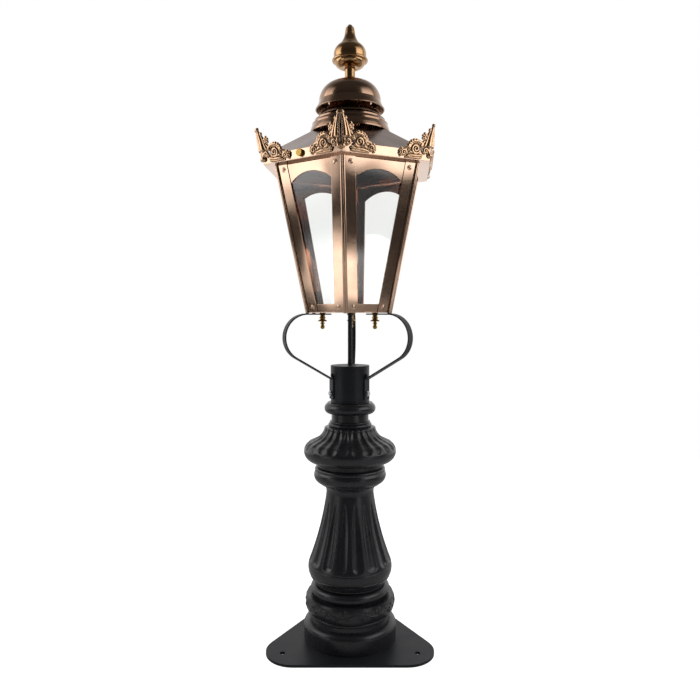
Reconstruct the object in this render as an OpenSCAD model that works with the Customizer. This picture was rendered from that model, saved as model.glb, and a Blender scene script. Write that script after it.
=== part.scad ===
// Six-sided copper lantern on a short cast post, held by three flat-bar arms.
// Z is up, the post axis is X = Y = 0 and Z = 0 is the underside of the base plate.
// Each casting and each lantern part is a solid of its own, as it comes apart on a bench.

/* [Base plate] */
// Thickness of the three-cornered steel plate
plate_t = 6; // [4:1:12]
// Distance from the post axis to each straight edge
plate_apothem = 136.5; // [125:0.5:160]
// Radius of the rounded corners
plate_corner_r = 66; // [45:1:80]
// Radius of the circle that the three bolt holes lie on
bolt_circle_r = 173; // [165:1:180]
// Diameter of each bolt hole
bolt_hole_d = 12; // [8:1:18]

/* [Post tube] */
// Outer diameter of the steel tube inside the castings
tube_d = 76.1; // [70:0.1:78]
// Wall of the steel tube
tube_wall = 3.2; // [2:0.1:5]
// Radial clearance between the tube and the castings
tube_clear = 0.35; // [0.2:0.05:0.8]
// Wall of the hollow castings
wall_t = 9; // [7:0.5:12]

/* [Base casting] */
// Height of the plain plinth ring
plinth_h = 45; // [41:1:48]
// Radius of the plinth ring
plinth_r = 107.2; // [100:0.1:115]
// Rounding of the plinth's upper edge
plinth_round = 14; // [8:1:16]
// Height of the groove above the plinth
base_groove_h = 12; // [10:1:14]
// Radius at the bottom of that groove
base_groove_r = 92; // [90:0.5:94]
// Height of the belly and of the moulding above it
belly_h = 75; // [72:1:80]
// Largest radius of the belly
belly_r = 103.2; // [101:0.1:106]
// Radius of the belly's round side
belly_round = 46; // [43:1:50]
// Height of the belly's widest line above the groove
belly_rise = 29; // [27:1:31]
// Rounding of the bead between the groove and the belly
base_bead = 5.5; // [4:0.5:6]
// Outer radius of the round moulding above the belly
torus_r = 91.5; // [89:0.5:94]
// Rounding of that moulding
torus_round = 12; // [11:0.5:12.5]

/* [Shaft casting] */
// Height of the fluted shaft casting
shaft_h = 208; // [190:1:230]
// Radius of the waist that the shaft stands on
waist_r = 77.5; // [74:0.5:82]
// Height of the waist ring
waist_h = 7; // [4:1:10]
// Largest radius of the shaft's foot
shaft_foot_r = 97.2; // [92:0.1:100]
// Height of the foot's widest line above the waist's underside
shaft_foot_z = 35; // [30:1:40]
// Radius of the foot's round underside
shaft_foot_round = 45; // [40:1:48]
// Slope at which the foot runs into the sweep above it, in degrees
shaft_slope = 21.4; // [18:0.1:25]
// Radius of the shaft at its top
shaft_top_r = 54.6; // [50:0.1:58]
// Radius of the shaft's hollow sweep
shaft_sweep_r = 680; // [500:10:1000]
// Number of flutes round the shaft
shaft_flutes = 16; // [12:1:24]
// Half width of a shaft flute
shaft_flute_r = 7.5; // [4:0.5:9]
// Depth of a shaft flute at its lower end
shaft_flute_depth = 5; // [2:0.1:6]
// Distance from the shaft's top to the upper end of its flutes
shaft_flute_drop = 22; // [10:1:40]

/* [Capital casting] */
// Height of the capital casting
capital_h = 208; // [200:1:220]
// Height of the hollow under the ring
ring_low_drop = 22; // [18:1:24]
// Outer radius of the ring
ring_high_r = 83.2; // [78:0.1:88]
// Radius of the ring's round side
ring_r = 19; // [16:0.5:20]
// Largest radius of the fluted bell
bell_r = 106.2; // [98:0.1:112]
// Radius of the bell's rounded rim
bell_round = 24; // [20:1:28]
// Height of the bell's widest line above the capital's underside
bell_z = 96; // [92:1:100]
// Height from the bell's widest line to the neck above it
bell_shoulder_h = 50; // [44:1:54]
// Number of flutes round the bell
bell_flutes = 24; // [18:1:26]
// Half width of a bell flute
bell_flute_r = 6; // [3:0.5:8]
// Depth of a bell flute
bell_flute_depth = 4; // [2:0.5:5]
// Radius of the neck under the top ring
neck_r = 42.6; // [40.5:0.1:48]
// Rounding of the flare from that neck down to the beads
neck_flare = 9; // [7:0.5:10]
// Outer radius of the top ring
top_ring_r = 58.8; // [54:0.1:64]
// Radius of the top ring's bead
top_ring_bead = 12.5; // [10:0.5:14]

/* [Sleeve and arms] */
// Outer diameter of the sleeve that carries the lantern
sleeve_d = 88.9; // [86:0.1:96]
// Wall of the sleeve
sleeve_wall = 5; // [3.5:0.1:5.4]
// Height of the sleeve below its cap
sleeve_h = 79.7; // [70:0.1:95]
// Thickness of the disc that closes the sleeve
cap_t = 5; // [3:0.5:8]
// Width of the flat-bar arms
arm_w = 18; // [16:1:26]
// Thickness of the flat-bar arms
arm_t = 3; // [3:0.5:6]
// Distance from the post axis to each arm's inner end
arm_tip_r = 50; // [40:1:58]
// Radius of the stud circle in the arms
stud_circle_r = 68; // [62:1:76]
// Distance from the post axis to the centre of each arm's bow
arm_bow_x = 106.5; // [96:0.5:112]
// Radius of each arm's bow along its middle line
arm_bow_r = 52; // [46:0.5:56]
// Slope of the arm below its bow, in degrees
arm_slope = 30; // [26:1:34]
// Length of the foot that is bolted to the sleeve
arm_foot_h = 45; // [38:1:48]
// Thread diameter of the foot bolts and set screws
clamp_bolt_d = 8; // [6:1:10]
// Height of the set screws above the arms' knees
set_screw_rise = 8; // [7:0.5:12]
// Turn of the lantern and its arms on the post, in degrees
head_yaw = -5; // [-30:1:30]
// Turn of the back arm off its corner, in degrees
back_arm_turn = 3; // [-5:0.5:5]

/* [Wiring tube and studs] */
// Outer diameter of the threaded wiring tube
conduit_d = 10; // [8:0.5:12]
// Bore of the threaded wiring tube
conduit_bore = 7; // [5:0.5:7.5]
// Thread diameter of the studs under the floor
stud_d = 6; // [5:0.5:8]
// Across-corners diameter of the hexagon nuts
nut_d = 17; // [14:0.5:19]
// Thickness of the hexagon nuts
nut_t = 5; // [3:0.5:7]
// Length of each brass finial nut
finial_nut_h = 32; // [28:1:38]
// Diameter of the flange of each finial nut
finial_nut_d = 20.5; // [18:0.5:24]

/* [Lantern body] */
// Gap between the arms and the lantern floor
floor_gap = 1.5; // [1:0.1:3]
// Thickness of the floor plate
floor_t = 1.5; // [1:0.1:3]
// Clear height from the arms' tops to the wiring tube's sleeve cap
arm_rise = 118.5; // [112:0.5:130]
// Height of the glazed body
body_h = 313; // [290:1:340]
// Corner radius of the body at its floor
body_r0 = 105; // [100:1:110]
// Thickness of the copper sheet
sheet_t = 1.2; // [0.8:0.1:1.6]
// Visible width of a corner post on each face
post_flange = 29; // [24:1:34]
// Width of a corner post's inner flange
post_inner = 16; // [12:1:20]
// Radius of each of the two beads along a corner post
bead_r = 2.6; // [2:0.1:3.2]
// Thickness of the glass
glass_t = 3; // [2:0.5:4]
// Clearance beside each sheet in the glazing channel
glazing_clear = 0.2; // [0.1:0.05:0.4]
// Height of the bottom rail of a glazing frame
rail_h = 17.5; // [14:0.5:24]
// Distance from the top of the body to the crown of the arch
arch_drop = 20; // [16:0.5:26]
// Rise of the arch
arch_rise = 20; // [16:0.5:26]
// Distance of the glazing screws from the corner line
screw_inset = 18; // [15:0.5:21]
// Distance of the glazing screws from the ends of the body
screw_end = 10.5; // [8:0.5:13]
// Head diameter of the glazing screws
screw_head_d = 6; // [5:0.2:8]

/* [Lamp] */
// Diameter of the lamp holder
holder_d = 38; // [34:1:42]
// Height of the lamp holder
holder_h = 56; // [50:1:62]
// Height of the wiring tube above the floor
conduit_rise = 40; // [30:1:60]
// Diameter of the lamp's glass
bulb_d = 35; // [32:1:44]
// Height of the lamp's glass above its holder
bulb_h = 104; // [90:1:120]

/* [Roof] */
// Corner radius of the roof at its eave
roof_r = 203; // [198:1:210]
// How far the roof's corners stand out past the glazed body's
eave_overhang = 28.5; // [24:0.5:32]
// Height of the upright band round the eave
fascia_h = 18.5; // [16:0.5:24]
// Rise of the roof's hips per unit of run
roof_pitch = 0.58; // [0.5:0.01:0.66]
// Corner radius of the flat top of the roof
roof_top_r = 64; // [62:1:72]
// Height of the upstand on the top frame
upstand_h = 14; // [11:0.5:15]
// Clearance between the upstand and the eave band
upstand_clear = 4.6; // [4:0.1:6]
// Width of the top frame's flange inside the body line
curb_lap = 11; // [10:0.5:16]

/* [Vent cowl and finial] */
// Radius of the vent collar
vent_r = 52; // [46:1:54]
// Height of the vent collar
vent_h = 58; // [54:1:64]
// Height of the seat on which the skirt rests, above the roof top
skirt_seat = 29; // [26:1:32]
// Radius of the skirt's lower rim
skirt_rim_r = 90; // [86:0.5:94]
// Radius of the skirt's neck
skirt_neck_r = 66; // [62:0.5:68]
// Clearance between the skirt's rim and the roof's hips
rim_clear = 0.4; // [0.3:0.1:2]
// Radius of the dome's rim
dome_rim_r = 77; // [74:0.1:82]
// Radius of the dome where its flared skirt begins
dome_r = 69.5; // [66:0.5:72]
// Rounding of the dome's shoulder
dome_round = 43; // [38:0.5:48]
// Height of the dome
dome_h = 63; // [58:0.1:70]
// Height of the dome's flared skirt
dome_flare_h = 19; // [15:1:20]
// Height of the finial
finial_h = 127.5; // [120:0.1:136]
// Radius of the finial's bead
finial_r = 40.2; // [36:0.1:44]
// Radius of the finial's neck
finial_neck_r = 11.5; // [10:0.1:14]
// Diameter of the tie bolt
tie_d = 10; // [8:0.5:12]

/* [Corner crests] */
// Height of the crests above the underside of the eave band; their wings are as long
crest_h = 79; // [70:1:84]
// Thickness of the crest's casting between its raised leaves
crest_t = 3; // [2:0.5:4]
// Outward lean of the crests, in degrees
crest_lean = 11; // [4:1:13]

/* [Hinge and thumb screw] */
// Length of the roof hinge
hinge_l = 38; // [30:1:42]
// Diameter of the hinge pin
hinge_pin_d = 3; // [2.5:0.1:3.4]
// Outer diameter of the hinge knuckles
hinge_knuckle_d = 7; // [6.4:0.1:7.2]
// Radial running clearance of the hinge pin
hinge_clear = 0.06; // [0.04:0.01:0.1]
// Thread diameter of the thumb screw
thumb_d = 5; // [4:0.5:6]
// Diameter of the thumb screw's head
thumb_head_d = 15; // [12:0.5:17]
// Thickness of the thumb screw's head
thumb_head_t = 6; // [4:0.5:8]

/* [Hidden] */
$fn = 64;

copper = "#b87b5a";
dark_copper = "#8a5a3c";
black_paint = "#1d1e20";
yellow_brass = "#c9a24b";
stainless = "#b9bbbd";

big = 1000;
bore_fit = 0.06;
part_gap = 0.3;

tube_r = tube_d / 2;
casting_bore_r = tube_r + tube_clear;
base_h = plinth_h + base_groove_h + belly_h;
shaft_z = plate_t + base_h;
capital_z = shaft_z + shaft_h;
capital_top = capital_z + capital_h;
sleeve_r = sleeve_d / 2;
sleeve_bore_r = sleeve_r - sleeve_wall;
sleeve_z = capital_top + part_gap;
cap_z = sleeve_z + sleeve_h;
cap_top = cap_z + cap_t;

arm_top = cap_top + arm_rise;
arm_mid = arm_top - arm_t / 2;
bow_z = arm_mid - arm_bow_r;
bow_end_x = arm_bow_x + arm_bow_r * sin(arm_slope);
bow_end_z = bow_z - arm_bow_r * cos(arm_slope);
foot_mid = sleeve_r + bore_fit + arm_t / 2;
knee_z = bow_end_z - (bow_end_x - foot_mid) * tan(arm_slope);
foot_bolt_z = knee_z - arm_foot_h * 0.72;
set_screw_z = knee_z + set_screw_rise;

body_r1 = roof_r - eave_overhang;
floor_z = arm_top + floor_gap;
body_z = floor_z + floor_t;
body_top = body_z + body_h;
cos30 = cos(30);
corner_lean = atan((body_r1 - body_r0) / body_h);
face_lean = atan((body_r1 - body_r0) * cos30 / body_h);
face_l = body_h / cos(face_lean);
edge_lean = atan((body_r1 - body_r0) / 2 / face_l);
half_dihedral = 90 - acos(pow(cos(face_lean), 2) * 0.5 + pow(sin(face_lean), 2)) / 2;
frame_sheet = 1;
channel_d = frame_sheet + glass_t + 3 * glazing_clear;
post_d = channel_d + 2 * sheet_t;
post_web = 5;
frame_inset = post_web + 1;

roof_z = body_top + sheet_t;
eave_z = roof_z + fascia_h;
roof_top = eave_z + (roof_r - roof_top_r) * roof_pitch;
upstand_a = roof_r * cos30 - sheet_t - upstand_clear;
curb_a = body_r1 * cos30 - curb_lap;
crossbar_t = 4;
crossbar_z = roof_top - sheet_t - crossbar_t;
crossbar_w = 20;
crossbar_half = (roof_top_r - 2 * sheet_t) * cos30 - 1.2;
skirt_z = roof_top + skirt_seat;
skirt_t = sheet_t + part_gap;
skirt_drop = skirt_seat + (skirt_rim_r - skirt_t - roof_top_r) * roof_pitch - rim_clear;
vent_top = roof_top + vent_h;
dome_z = vent_top - dome_flare_h - 1;
dome_top = dome_z + dome_h;
bridge_t = 3;

hinge_face = 2;
screw_face = 5;
hinge_r = hinge_knuckle_d / 2;
hinge_a = roof_r * cos30 + hinge_r + 0.5;
hinge_z = roof_z;
leaf_t = 1.5;
thumb_z = roof_z + fascia_h * 0.54;

// Direction of corner i (0 is the front one) and of face i (between corners i and i + 1)
function corner_az(i) = -90 + head_yaw + 60 * i;
function face_az(i) = -60 + head_yaw + 60 * i;
// Half width of a body face at distance y up its slope, drawn in by inset
function half_w(y, inset) = (body_r0 + (body_r1 - body_r0) * y / face_l) / 2 - inset / cos(edge_lean);

module at_corner(i)
    rotate([0, 0, corner_az(i)])
        children();

// Children are drawn in XY along the corner line, X outward and Z up the slope
module on_corner_line(i)
    at_corner(i)
        translate([body_r0, 0, body_z])
            rotate([0, corner_lean, 0])
                children();

// Children are drawn with X along the face, Y up its slope and Z outward
module on_face(i)
    rotate([0, 0, face_az(i)])
        translate([body_r0 * cos30, 0, body_z])
            rotate([0, face_lean, 0])
                rotate([90, 0, 90])
                    children();

// Children are drawn with X outward, Y along the eave and Z up
module at_face(i)
    rotate([0, 0, face_az(i)])
        children();

// Hexagonal prism with its corners on the lantern's corners
module hex_prism(corner_r, z, h)
    rotate([0, 0, corner_az(0)])
        translate([0, 0, z])
            linear_extrude(height = h)
                circle(r = corner_r, $fn = 6);

module slab(z0, z1)
    translate([-big / 2, -big / 2, z0])
        cube([big, big, z1 - z0]);

// Three-cornered outline with rounded corners, one corner at the back
module plate_outline() {
    centre_r = 2 * (plate_apothem - plate_corner_r);
    polygon([
        for (a = [90, 210, 330])
            for (side = [-59.5, 59.5])
                [
                    centre_r * cos(a) + plate_corner_r * cos(a + side),
                    centre_r * sin(a) + plate_corner_r * sin(a + side)
                ]
    ]);
    for (a = [90, 210, 330])
        translate([centre_r * cos(a), centre_r * sin(a)])
            circle(r = plate_corner_r);
}

module base_plate()
    color(black_paint)
        difference() {
            linear_extrude(height = plate_t)
                plate_outline();
            for (a = [90, 210, 330])
                rotate([0, 0, a])
                    translate([bolt_circle_r, 0, -1])
                        cylinder(d = bolt_hole_d, h = plate_t + 2);
            translate([0, 0, -1])
                cylinder(r = tube_r - tube_wall, h = plate_t + 2);
        }

module post_tube()
    color(black_paint)
        translate([0, 0, plate_t])
            difference() {
                cylinder(r = tube_r, h = cap_z - plate_t);
                translate([0, 0, -1])
                    cylinder(r = tube_r - tube_wall, h = cap_z - plate_t + 2);
            }

// Half outline of a bead: a disc of radius r whose outside touches outer_r at height z
module bead_2d(outer_r, r, z, fn = 64)
    translate([outer_r - r, z])
        circle(r = r, $fn = fn);

module base_profile() {
    groove_z = plinth_h + base_groove_h;
    torus_z = base_h - 4 - torus_round;
    square([base_groove_r, groove_z + 2 * base_bead]);
    square([plinth_r, plinth_h - plinth_round]);
    square([plinth_r - plinth_round, plinth_h]);
    bead_2d(plinth_r, plinth_round, plinth_h - plinth_round);
    bead_2d(base_groove_r + base_bead, base_bead, groove_z + base_bead, 48);
    intersection() {
        bead_2d(belly_r, belly_round, groove_z + belly_rise, 128);
        translate([0, groove_z + 2 * base_bead])
            square([big, torus_z - torus_round - groove_z - 2 * base_bead]);
    }
    bead_2d(torus_r, torus_round, torus_z);
    square([torus_r - torus_round + 5, torus_z]);
    square([waist_r, base_h]);
}

// Hollow inside the base casting, open to the plate
module base_core() {
    belly_top = base_h - 4 - 2 * torus_round;
    low_r = base_groove_r - wall_t;
    high_r = torus_r - torus_round - wall_t;
    polygon([
        [0, -1],
        [low_r, -1],
        [low_r, belly_top - wall_t],
        [high_r, belly_top + 4],
        [high_r, base_h - wall_t],
        [0, base_h - wall_t]
    ]);
}

module base_casting()
    color(black_paint)
        translate([0, 0, plate_t])
            rotate_extrude($fn = 128)
                difference() {
                    base_profile();
                    base_core();
                    translate([0, -1])
                        square([casting_bore_r, base_h + 2]);
                }

shaft_sweep_z = shaft_foot_z + shaft_foot_round * sin(shaft_slope);
shaft_sweep_h = shaft_h - shaft_sweep_z;
sweep_foot_r = shaft_foot_r - shaft_foot_round * (1 - cos(shaft_slope));
sweep_chord = norm([sweep_foot_r - shaft_top_r, shaft_sweep_h]);
sweep_tilt = atan((sweep_foot_r - shaft_top_r) / shaft_sweep_h);
sweep_off = sqrt(pow(shaft_sweep_r, 2) - pow(sweep_chord / 2, 2));
sweep_cx = (sweep_foot_r + shaft_top_r) / 2 + sweep_off * cos(sweep_tilt);
sweep_cz = shaft_sweep_z + shaft_sweep_h / 2 + sweep_off * sin(sweep_tilt);

module shaft_profile() {
    square([waist_r, waist_h]);
    bead_2d(waist_r + 4.5, 4, waist_h + 4, 48);
    difference() {
        intersection() {
            bead_2d(shaft_foot_r, shaft_foot_round, shaft_foot_z, 128);
            square([big, shaft_sweep_z]);
        }
        translate([shaft_foot_r - 3, shaft_foot_z - 16])
            circle(r = 3, $fn = 48);
        translate([shaft_foot_r + 0.6, shaft_foot_z + 7])
            circle(r = 1.8, $fn = 48);
    }
    square([sweep_foot_r - 12, shaft_sweep_z]);
    difference() {
        polygon([
            [0, shaft_sweep_z],
            [sweep_foot_r, shaft_sweep_z],
            [shaft_top_r, shaft_h],
            [0, shaft_h]
        ]);
        translate([sweep_cx, sweep_cz])
            circle(r = shaft_sweep_r, $fn = 720);
    }
}

// Cutter for one flute: a round bar bent to the sweep, swung outward so that it runs out at its top
module shaft_flute() {
    low_z = shaft_sweep_z + 2;
    high_z = shaft_h - shaft_flute_drop;
    low_a = 180 + asin((sweep_cz - low_z) / shaft_sweep_r);
    high_a = 180 + asin((sweep_cz - high_z) / shaft_sweep_r);
    bar_at = shaft_sweep_r + shaft_flute_depth - shaft_flute_r;
    low = [sweep_cx + bar_at * cos(low_a), sweep_cz + bar_at * sin(low_a)];
    swing = atan(shaft_flute_depth / (high_z - low_z));
    rotate([90, 0, 0])
        translate([low[0], low[1], 0])
            rotate([0, 0, -swing])
                translate([sweep_cx - low[0], sweep_cz - low[1], 0]) {
                    rotate([0, 0, high_a])
                        rotate_extrude(angle = low_a - high_a, $fn = 360)
                            translate([bar_at, 0])
                                circle(r = shaft_flute_r, $fn = 32);
                    rotate([0, 0, low_a])
                        translate([bar_at, 0, 0])
                            sphere(r = shaft_flute_r, $fn = 32);
                }
}

// Hollow inside the shaft casting, open to the casting below
module shaft_core() {
    inner_r = shaft_foot_r - wall_t - 2;
    translate([0, -1])
        square([waist_r - wall_t, shaft_foot_z]);
    polygon([
        [0, 12],
        [waist_r - wall_t, 12],
        [inner_r, shaft_foot_z],
        [inner_r - 9, shaft_sweep_z],
        [(sweep_foot_r + shaft_top_r) / 2 - wall_t - 9, shaft_h * 0.6],
        [shaft_top_r - wall_t + 1, shaft_h - wall_t],
        [0, shaft_h - wall_t]
    ]);
}

module shaft_casting()
    color(black_paint)
        translate([0, 0, shaft_z])
            difference() {
                rotate_extrude($fn = 128)
                    difference() {
                        shaft_profile();
                        shaft_core();
                        translate([0, -1])
                            square([casting_bore_r, shaft_h + 2]);
                    }
                for (i = [0 : shaft_flutes - 1])
                    rotate([0, 0, (i + 0.5) * 360 / shaft_flutes])
                        shaft_flute();
            }

bell_neck_x = bell_r - 11.2;
bell_neck_z = bell_z + bell_shoulder_h + 12;
bell_hollow_r = 37.7;

module capital_profile() {
    hollow_r = ring_low_drop * 0.82;
    ring_z = ring_low_drop + ring_r;
    ring_top = ring_z + ring_r - 1.5;
    ring_x = ring_high_r - ring_r;
    shoulder_z = bell_z + bell_shoulder_h;
    difference() {
        polygon([
            [0, 0],
            [shaft_top_r, 0],
            [ring_x + 4, ring_low_drop - 2],
            [ring_x, ring_z],
            [0, ring_z]
        ]);
        translate([shaft_top_r + hollow_r, ring_low_drop * 0.12])
            circle(r = hollow_r, $fn = 96);
    }
    bead_2d(ring_high_r, ring_r, ring_z, 96);
    bead_2d(ring_high_r - 2, 6, ring_top - 4);
    translate([0, ring_z])
        square([ring_high_r - 9, bell_z - ring_z]);
    bead_2d(bell_r, bell_round, bell_z, 128);
    difference() {
        polygon([
            [0, bell_z],
            [bell_r - bell_round * 0.6, bell_z],
            [bell_r - bell_round * 0.53, bell_z + bell_round * 0.87],
            [bell_neck_x - 11, bell_neck_z - bell_hollow_r + 1.2],
            [shaft_top_r + 3, shoulder_z + 4],
            [0, shoulder_z + 4]
        ]);
        translate([bell_neck_x, bell_neck_z])
            circle(r = bell_hollow_r, $fn = 128);
    }
    bead_2d(shaft_top_r + 4.5, 4, shoulder_z + 2);
    bead_2d(shaft_top_r - 4.6, 4.5, shoulder_z + 10.5);
    square([neck_r, capital_h]);
    difference() {
        square([neck_r + 4, shoulder_z + 14 + neck_flare]);
        translate([neck_r + neck_flare - 0.8, shoulder_z + 14 + neck_flare])
            circle(r = neck_flare, $fn = 64);
    }
    bead_2d(neck_r + 4, 2.2, shoulder_z + 17.5, 32);
    square([shaft_top_r - 6, shoulder_z + 14]);
    intersection() {
        bead_2d(top_ring_r, top_ring_bead, capital_h - top_ring_bead - 0.5);
        square([big, capital_h]);
    }
    translate([0, capital_h - 2.5])
        square([top_ring_r - 7, 2.5]);
}

// Cutter for one flute of the bell: a bar bent round the rim and back up the hollow
module bell_flute() {
    hollow_at = bell_hollow_r + bell_flute_depth * 0.7 - bell_flute_r;
    rim_at = bell_round - bell_flute_depth + bell_flute_r;
    rim = [bell_r - bell_round, bell_z];
    neck = [bell_neck_x, bell_neck_z];
    foot_a = 14;
    rim_a = 58;
    low_a = 240;
    high_a = 196;
    start = rim + rim_at * [cos(rim_a), sin(rim_a)];
    run = neck + hollow_at * [cos(low_a), sin(low_a)] - start;
    rotate([90, 0, 0]) {
        translate([neck[0], neck[1], 0])
            rotate([0, 0, high_a])
                rotate_extrude(angle = low_a - high_a, $fn = 128)
                    translate([hollow_at, 0])
                        circle(r = bell_flute_r, $fn = 24);
        translate([rim[0], rim[1], 0])
            rotate([0, 0, foot_a])
                rotate_extrude(angle = rim_a - foot_a, $fn = 128)
                    translate([rim_at, 0])
                        circle(r = bell_flute_r, $fn = 24);
        translate([rim[0] + rim_at * cos(foot_a), rim[1] + rim_at * sin(foot_a), 0])
            sphere(r = bell_flute_r, $fn = 24);
    }
    translate([start[0], 0, start[1]])
        rotate([0, atan2(run[0], run[1]), 0])
            cylinder(r = bell_flute_r, h = norm(run), $fn = 24);
}

// Hollow inside the capital casting, open to the casting below
module capital_core() {
    ring_z = ring_low_drop + ring_r;
    translate([0, -1])
        square([shaft_top_r - wall_t + 1, bell_z]);
    bead_2d(ring_high_r - wall_t, ring_r - wall_t + 2, ring_z, 64);
    bead_2d(bell_r - wall_t - 3, bell_round - wall_t, bell_z, 96);
    polygon([
        [0, bell_z - 16],
        [ring_high_r - wall_t - 9, bell_z - 16],
        [bell_r - wall_t - 14, bell_z],
        [bell_r - wall_t - 20, bell_z + 13],
        [casting_bore_r + 6, bell_z + 34],
        [0, bell_z + 34]
    ]);
}

module capital_casting()
    color(black_paint)
        translate([0, 0, capital_z])
            difference() {
                rotate_extrude($fn = 128)
                    difference() {
                        capital_profile();
                        capital_core();
                        translate([0, -1])
                            square([casting_bore_r, capital_h + 2]);
                    }
                for (i = [0 : bell_flutes - 1])
                    rotate([0, 0, i * 360 / bell_flutes])
                        bell_flute();
            }

// Arms stand under every second corner, starting beside the front one
arm_corners = [1, 3, 5];

module at_arm(corner)
    rotate([0, 0, corner_az(corner) + (corner == 3 ? back_arm_turn : 0)])
        children();

// Radial hole through the sleeve at height z, and a screw with a round head that sits in it
module clamp_hole(z, reach)
    translate([sleeve_bore_r - 2, 0, z])
        rotate([0, 90, 0])
            cylinder(d = clamp_bolt_d + 2 * bore_fit, h = reach, $fn = 32);

module clamp_screw(z, seat_r, head_d, head_t) {
    translate([tube_r + part_gap, 0, z])
        rotate([0, 90, 0])
            cylinder(d = clamp_bolt_d, h = seat_r - tube_r - part_gap + head_t / 2, $fn = 32);
    translate([seat_r, 0, z])
        rotate([0, 90, 0]) {
            cylinder(d = head_d, h = head_t / 2, $fn = 32);
            cylinder(d = head_d * 0.72, h = head_t, $fn = 32);
        }
}

module post_sleeve()
    color(black_paint)
        difference() {
            translate([0, 0, sleeve_z])
                cylinder(r = sleeve_r, h = sleeve_h, $fn = 96);
            translate([0, 0, sleeve_z - 1])
                cylinder(r = sleeve_bore_r, h = sleeve_h + 2, $fn = 96);
            for (c = arm_corners)
                at_arm(c) {
                    clamp_hole(foot_bolt_z, sleeve_wall + 4);
                    clamp_hole(set_screw_z, sleeve_wall + 4);
                }
        }

module sleeve_cap()
    color(black_paint)
        translate([0, 0, cap_z])
            difference() {
                cylinder(r = sleeve_r, h = cap_t, $fn = 96);
                translate([0, 0, -1])
                    cylinder(d = conduit_d + 2 * bore_fit, h = cap_t + 2, $fn = 32);
            }

// Side view of one arm: X outward from the post axis, Y up
module arm_outline() {
    half = arm_t / 2;
    arm_l = norm([bow_end_x - foot_mid, bow_end_z - knee_z]);
    translate([arm_tip_r, arm_mid - half])
        square([arm_bow_x - arm_tip_r, arm_t]);
    intersection() {
        translate([arm_bow_x, bow_z])
            difference() {
                circle(r = arm_bow_r + half, $fn = 128);
                circle(r = arm_bow_r - half, $fn = 128);
            }
        translate([arm_bow_x, bow_z])
            polygon([
                [0, 0],
                [0, 2 * arm_bow_r],
                [2 * arm_bow_r, 2 * arm_bow_r],
                [2 * arm_bow_r, -2 * arm_bow_r * cos(arm_slope)],
                [2 * arm_bow_r * sin(arm_slope), -2 * arm_bow_r * cos(arm_slope)]
            ]);
    }
    translate([bow_end_x, bow_end_z])
        rotate(180 + arm_slope)
            translate([0, -half])
                square([arm_l, arm_t]);
    translate([foot_mid, knee_z])
        circle(r = half, $fn = 32);
    translate([foot_mid - half, knee_z - arm_foot_h])
        square([arm_t, arm_foot_h]);
}

module strap(corner)
    color(black_paint)
        at_arm(corner)
            difference() {
                rotate([90, 0, 0])
                    translate([0, 0, -arm_w / 2])
                        linear_extrude(height = arm_w)
                            arm_outline();
                clamp_hole(foot_bolt_z, sleeve_wall + arm_t + 4);
                translate([stud_circle_r, 0, arm_mid - arm_t])
                    cylinder(d = stud_d + 2 * bore_fit, h = 2 * arm_t, $fn = 32);
            }

module foot_bolts()
    color(stainless)
        for (c = arm_corners)
            at_arm(c)
                clamp_screw(foot_bolt_z, sleeve_r + bore_fit + arm_t, 12, 5);

module set_screws()
    color(black_paint)
        for (c = arm_corners)
            at_arm(c)
                clamp_screw(set_screw_z, sleeve_r + bore_fit, 9, 3);

conduit_z = cap_z - 20;
holder_z = body_z + conduit_rise - 10;

module conduit_tube()
    color(black_paint)
        translate([0, 0, conduit_z])
            difference() {
                cylinder(d = conduit_d, h = body_z + conduit_rise - conduit_z, $fn = 32);
                translate([0, 0, -1])
                    cylinder(d = conduit_bore, h = big, $fn = 32);
            }

module hex_nut(z, bore)
    translate([0, 0, z])
        difference() {
            cylinder(d = nut_d, h = nut_t, $fn = 6);
            translate([0, 0, -1])
                cylinder(d = bore + 2 * bore_fit, h = nut_t + 2, $fn = 32);
        }

module conduit_nuts()
    color(stainless) {
        hex_nut(cap_z - nut_t, conduit_d);
        hex_nut(body_z, conduit_d);
    }

stud_l = finial_nut_h * 0.6;

module floor_studs()
    color(yellow_brass)
        for (c = arm_corners)
            at_arm(c)
                translate([stud_circle_r, 0, 0]) {
                    translate([0, 0, arm_top - arm_t - stud_l])
                        cylinder(d = stud_d, h = stud_l + arm_t + floor_gap + floor_t + 1, $fn = 32);
                    translate([0, 0, body_z])
                        cylinder(d = 13, h = 4, $fn = 6);
                    translate([0, 0, arm_top])
                        cylinder(d = 14, h = floor_gap, $fn = 32);
                }

// Turned brass nut hanging under an arm: collar, flange, neck and ball
module finial_nut_2d() {
    flange_r = finial_nut_d / 2;
    collar_r = stud_d / 2 + 2.6;
    ball_r = 5;
    translate([0, -finial_nut_h * 0.4])
        square([collar_r, finial_nut_h * 0.4]);
    translate([0, -finial_nut_h * 0.24])
        square([collar_r + 1.6, 2.4]);
    translate([0, -finial_nut_h * 0.46])
        polygon([[0, 0], [flange_r - 1, 0], [flange_r, 1], [flange_r, 2], [collar_r, 4.5], [0, 4.5]]);
    translate([0, -finial_nut_h + ball_r])
        square([3.4, finial_nut_h * 0.5]);
    translate([0, -finial_nut_h * 0.62])
        square([5.2, 2.4]);
    intersection() {
        translate([0, -finial_nut_h + ball_r])
            circle(r = ball_r, $fn = 48);
        translate([0, -finial_nut_h])
            square([ball_r, 2 * ball_r]);
    }
}

module finial_nuts()
    color(yellow_brass)
        for (c = arm_corners)
            at_arm(c)
                translate([stud_circle_r, 0, arm_top - arm_t])
                    difference() {
                        rotate_extrude($fn = 48)
                            finial_nut_2d();
                        translate([0, 0, -stud_l - 0.5])
                            cylinder(d = stud_d + 2 * bore_fit, h = stud_l + 1, $fn = 32);
                    }

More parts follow.
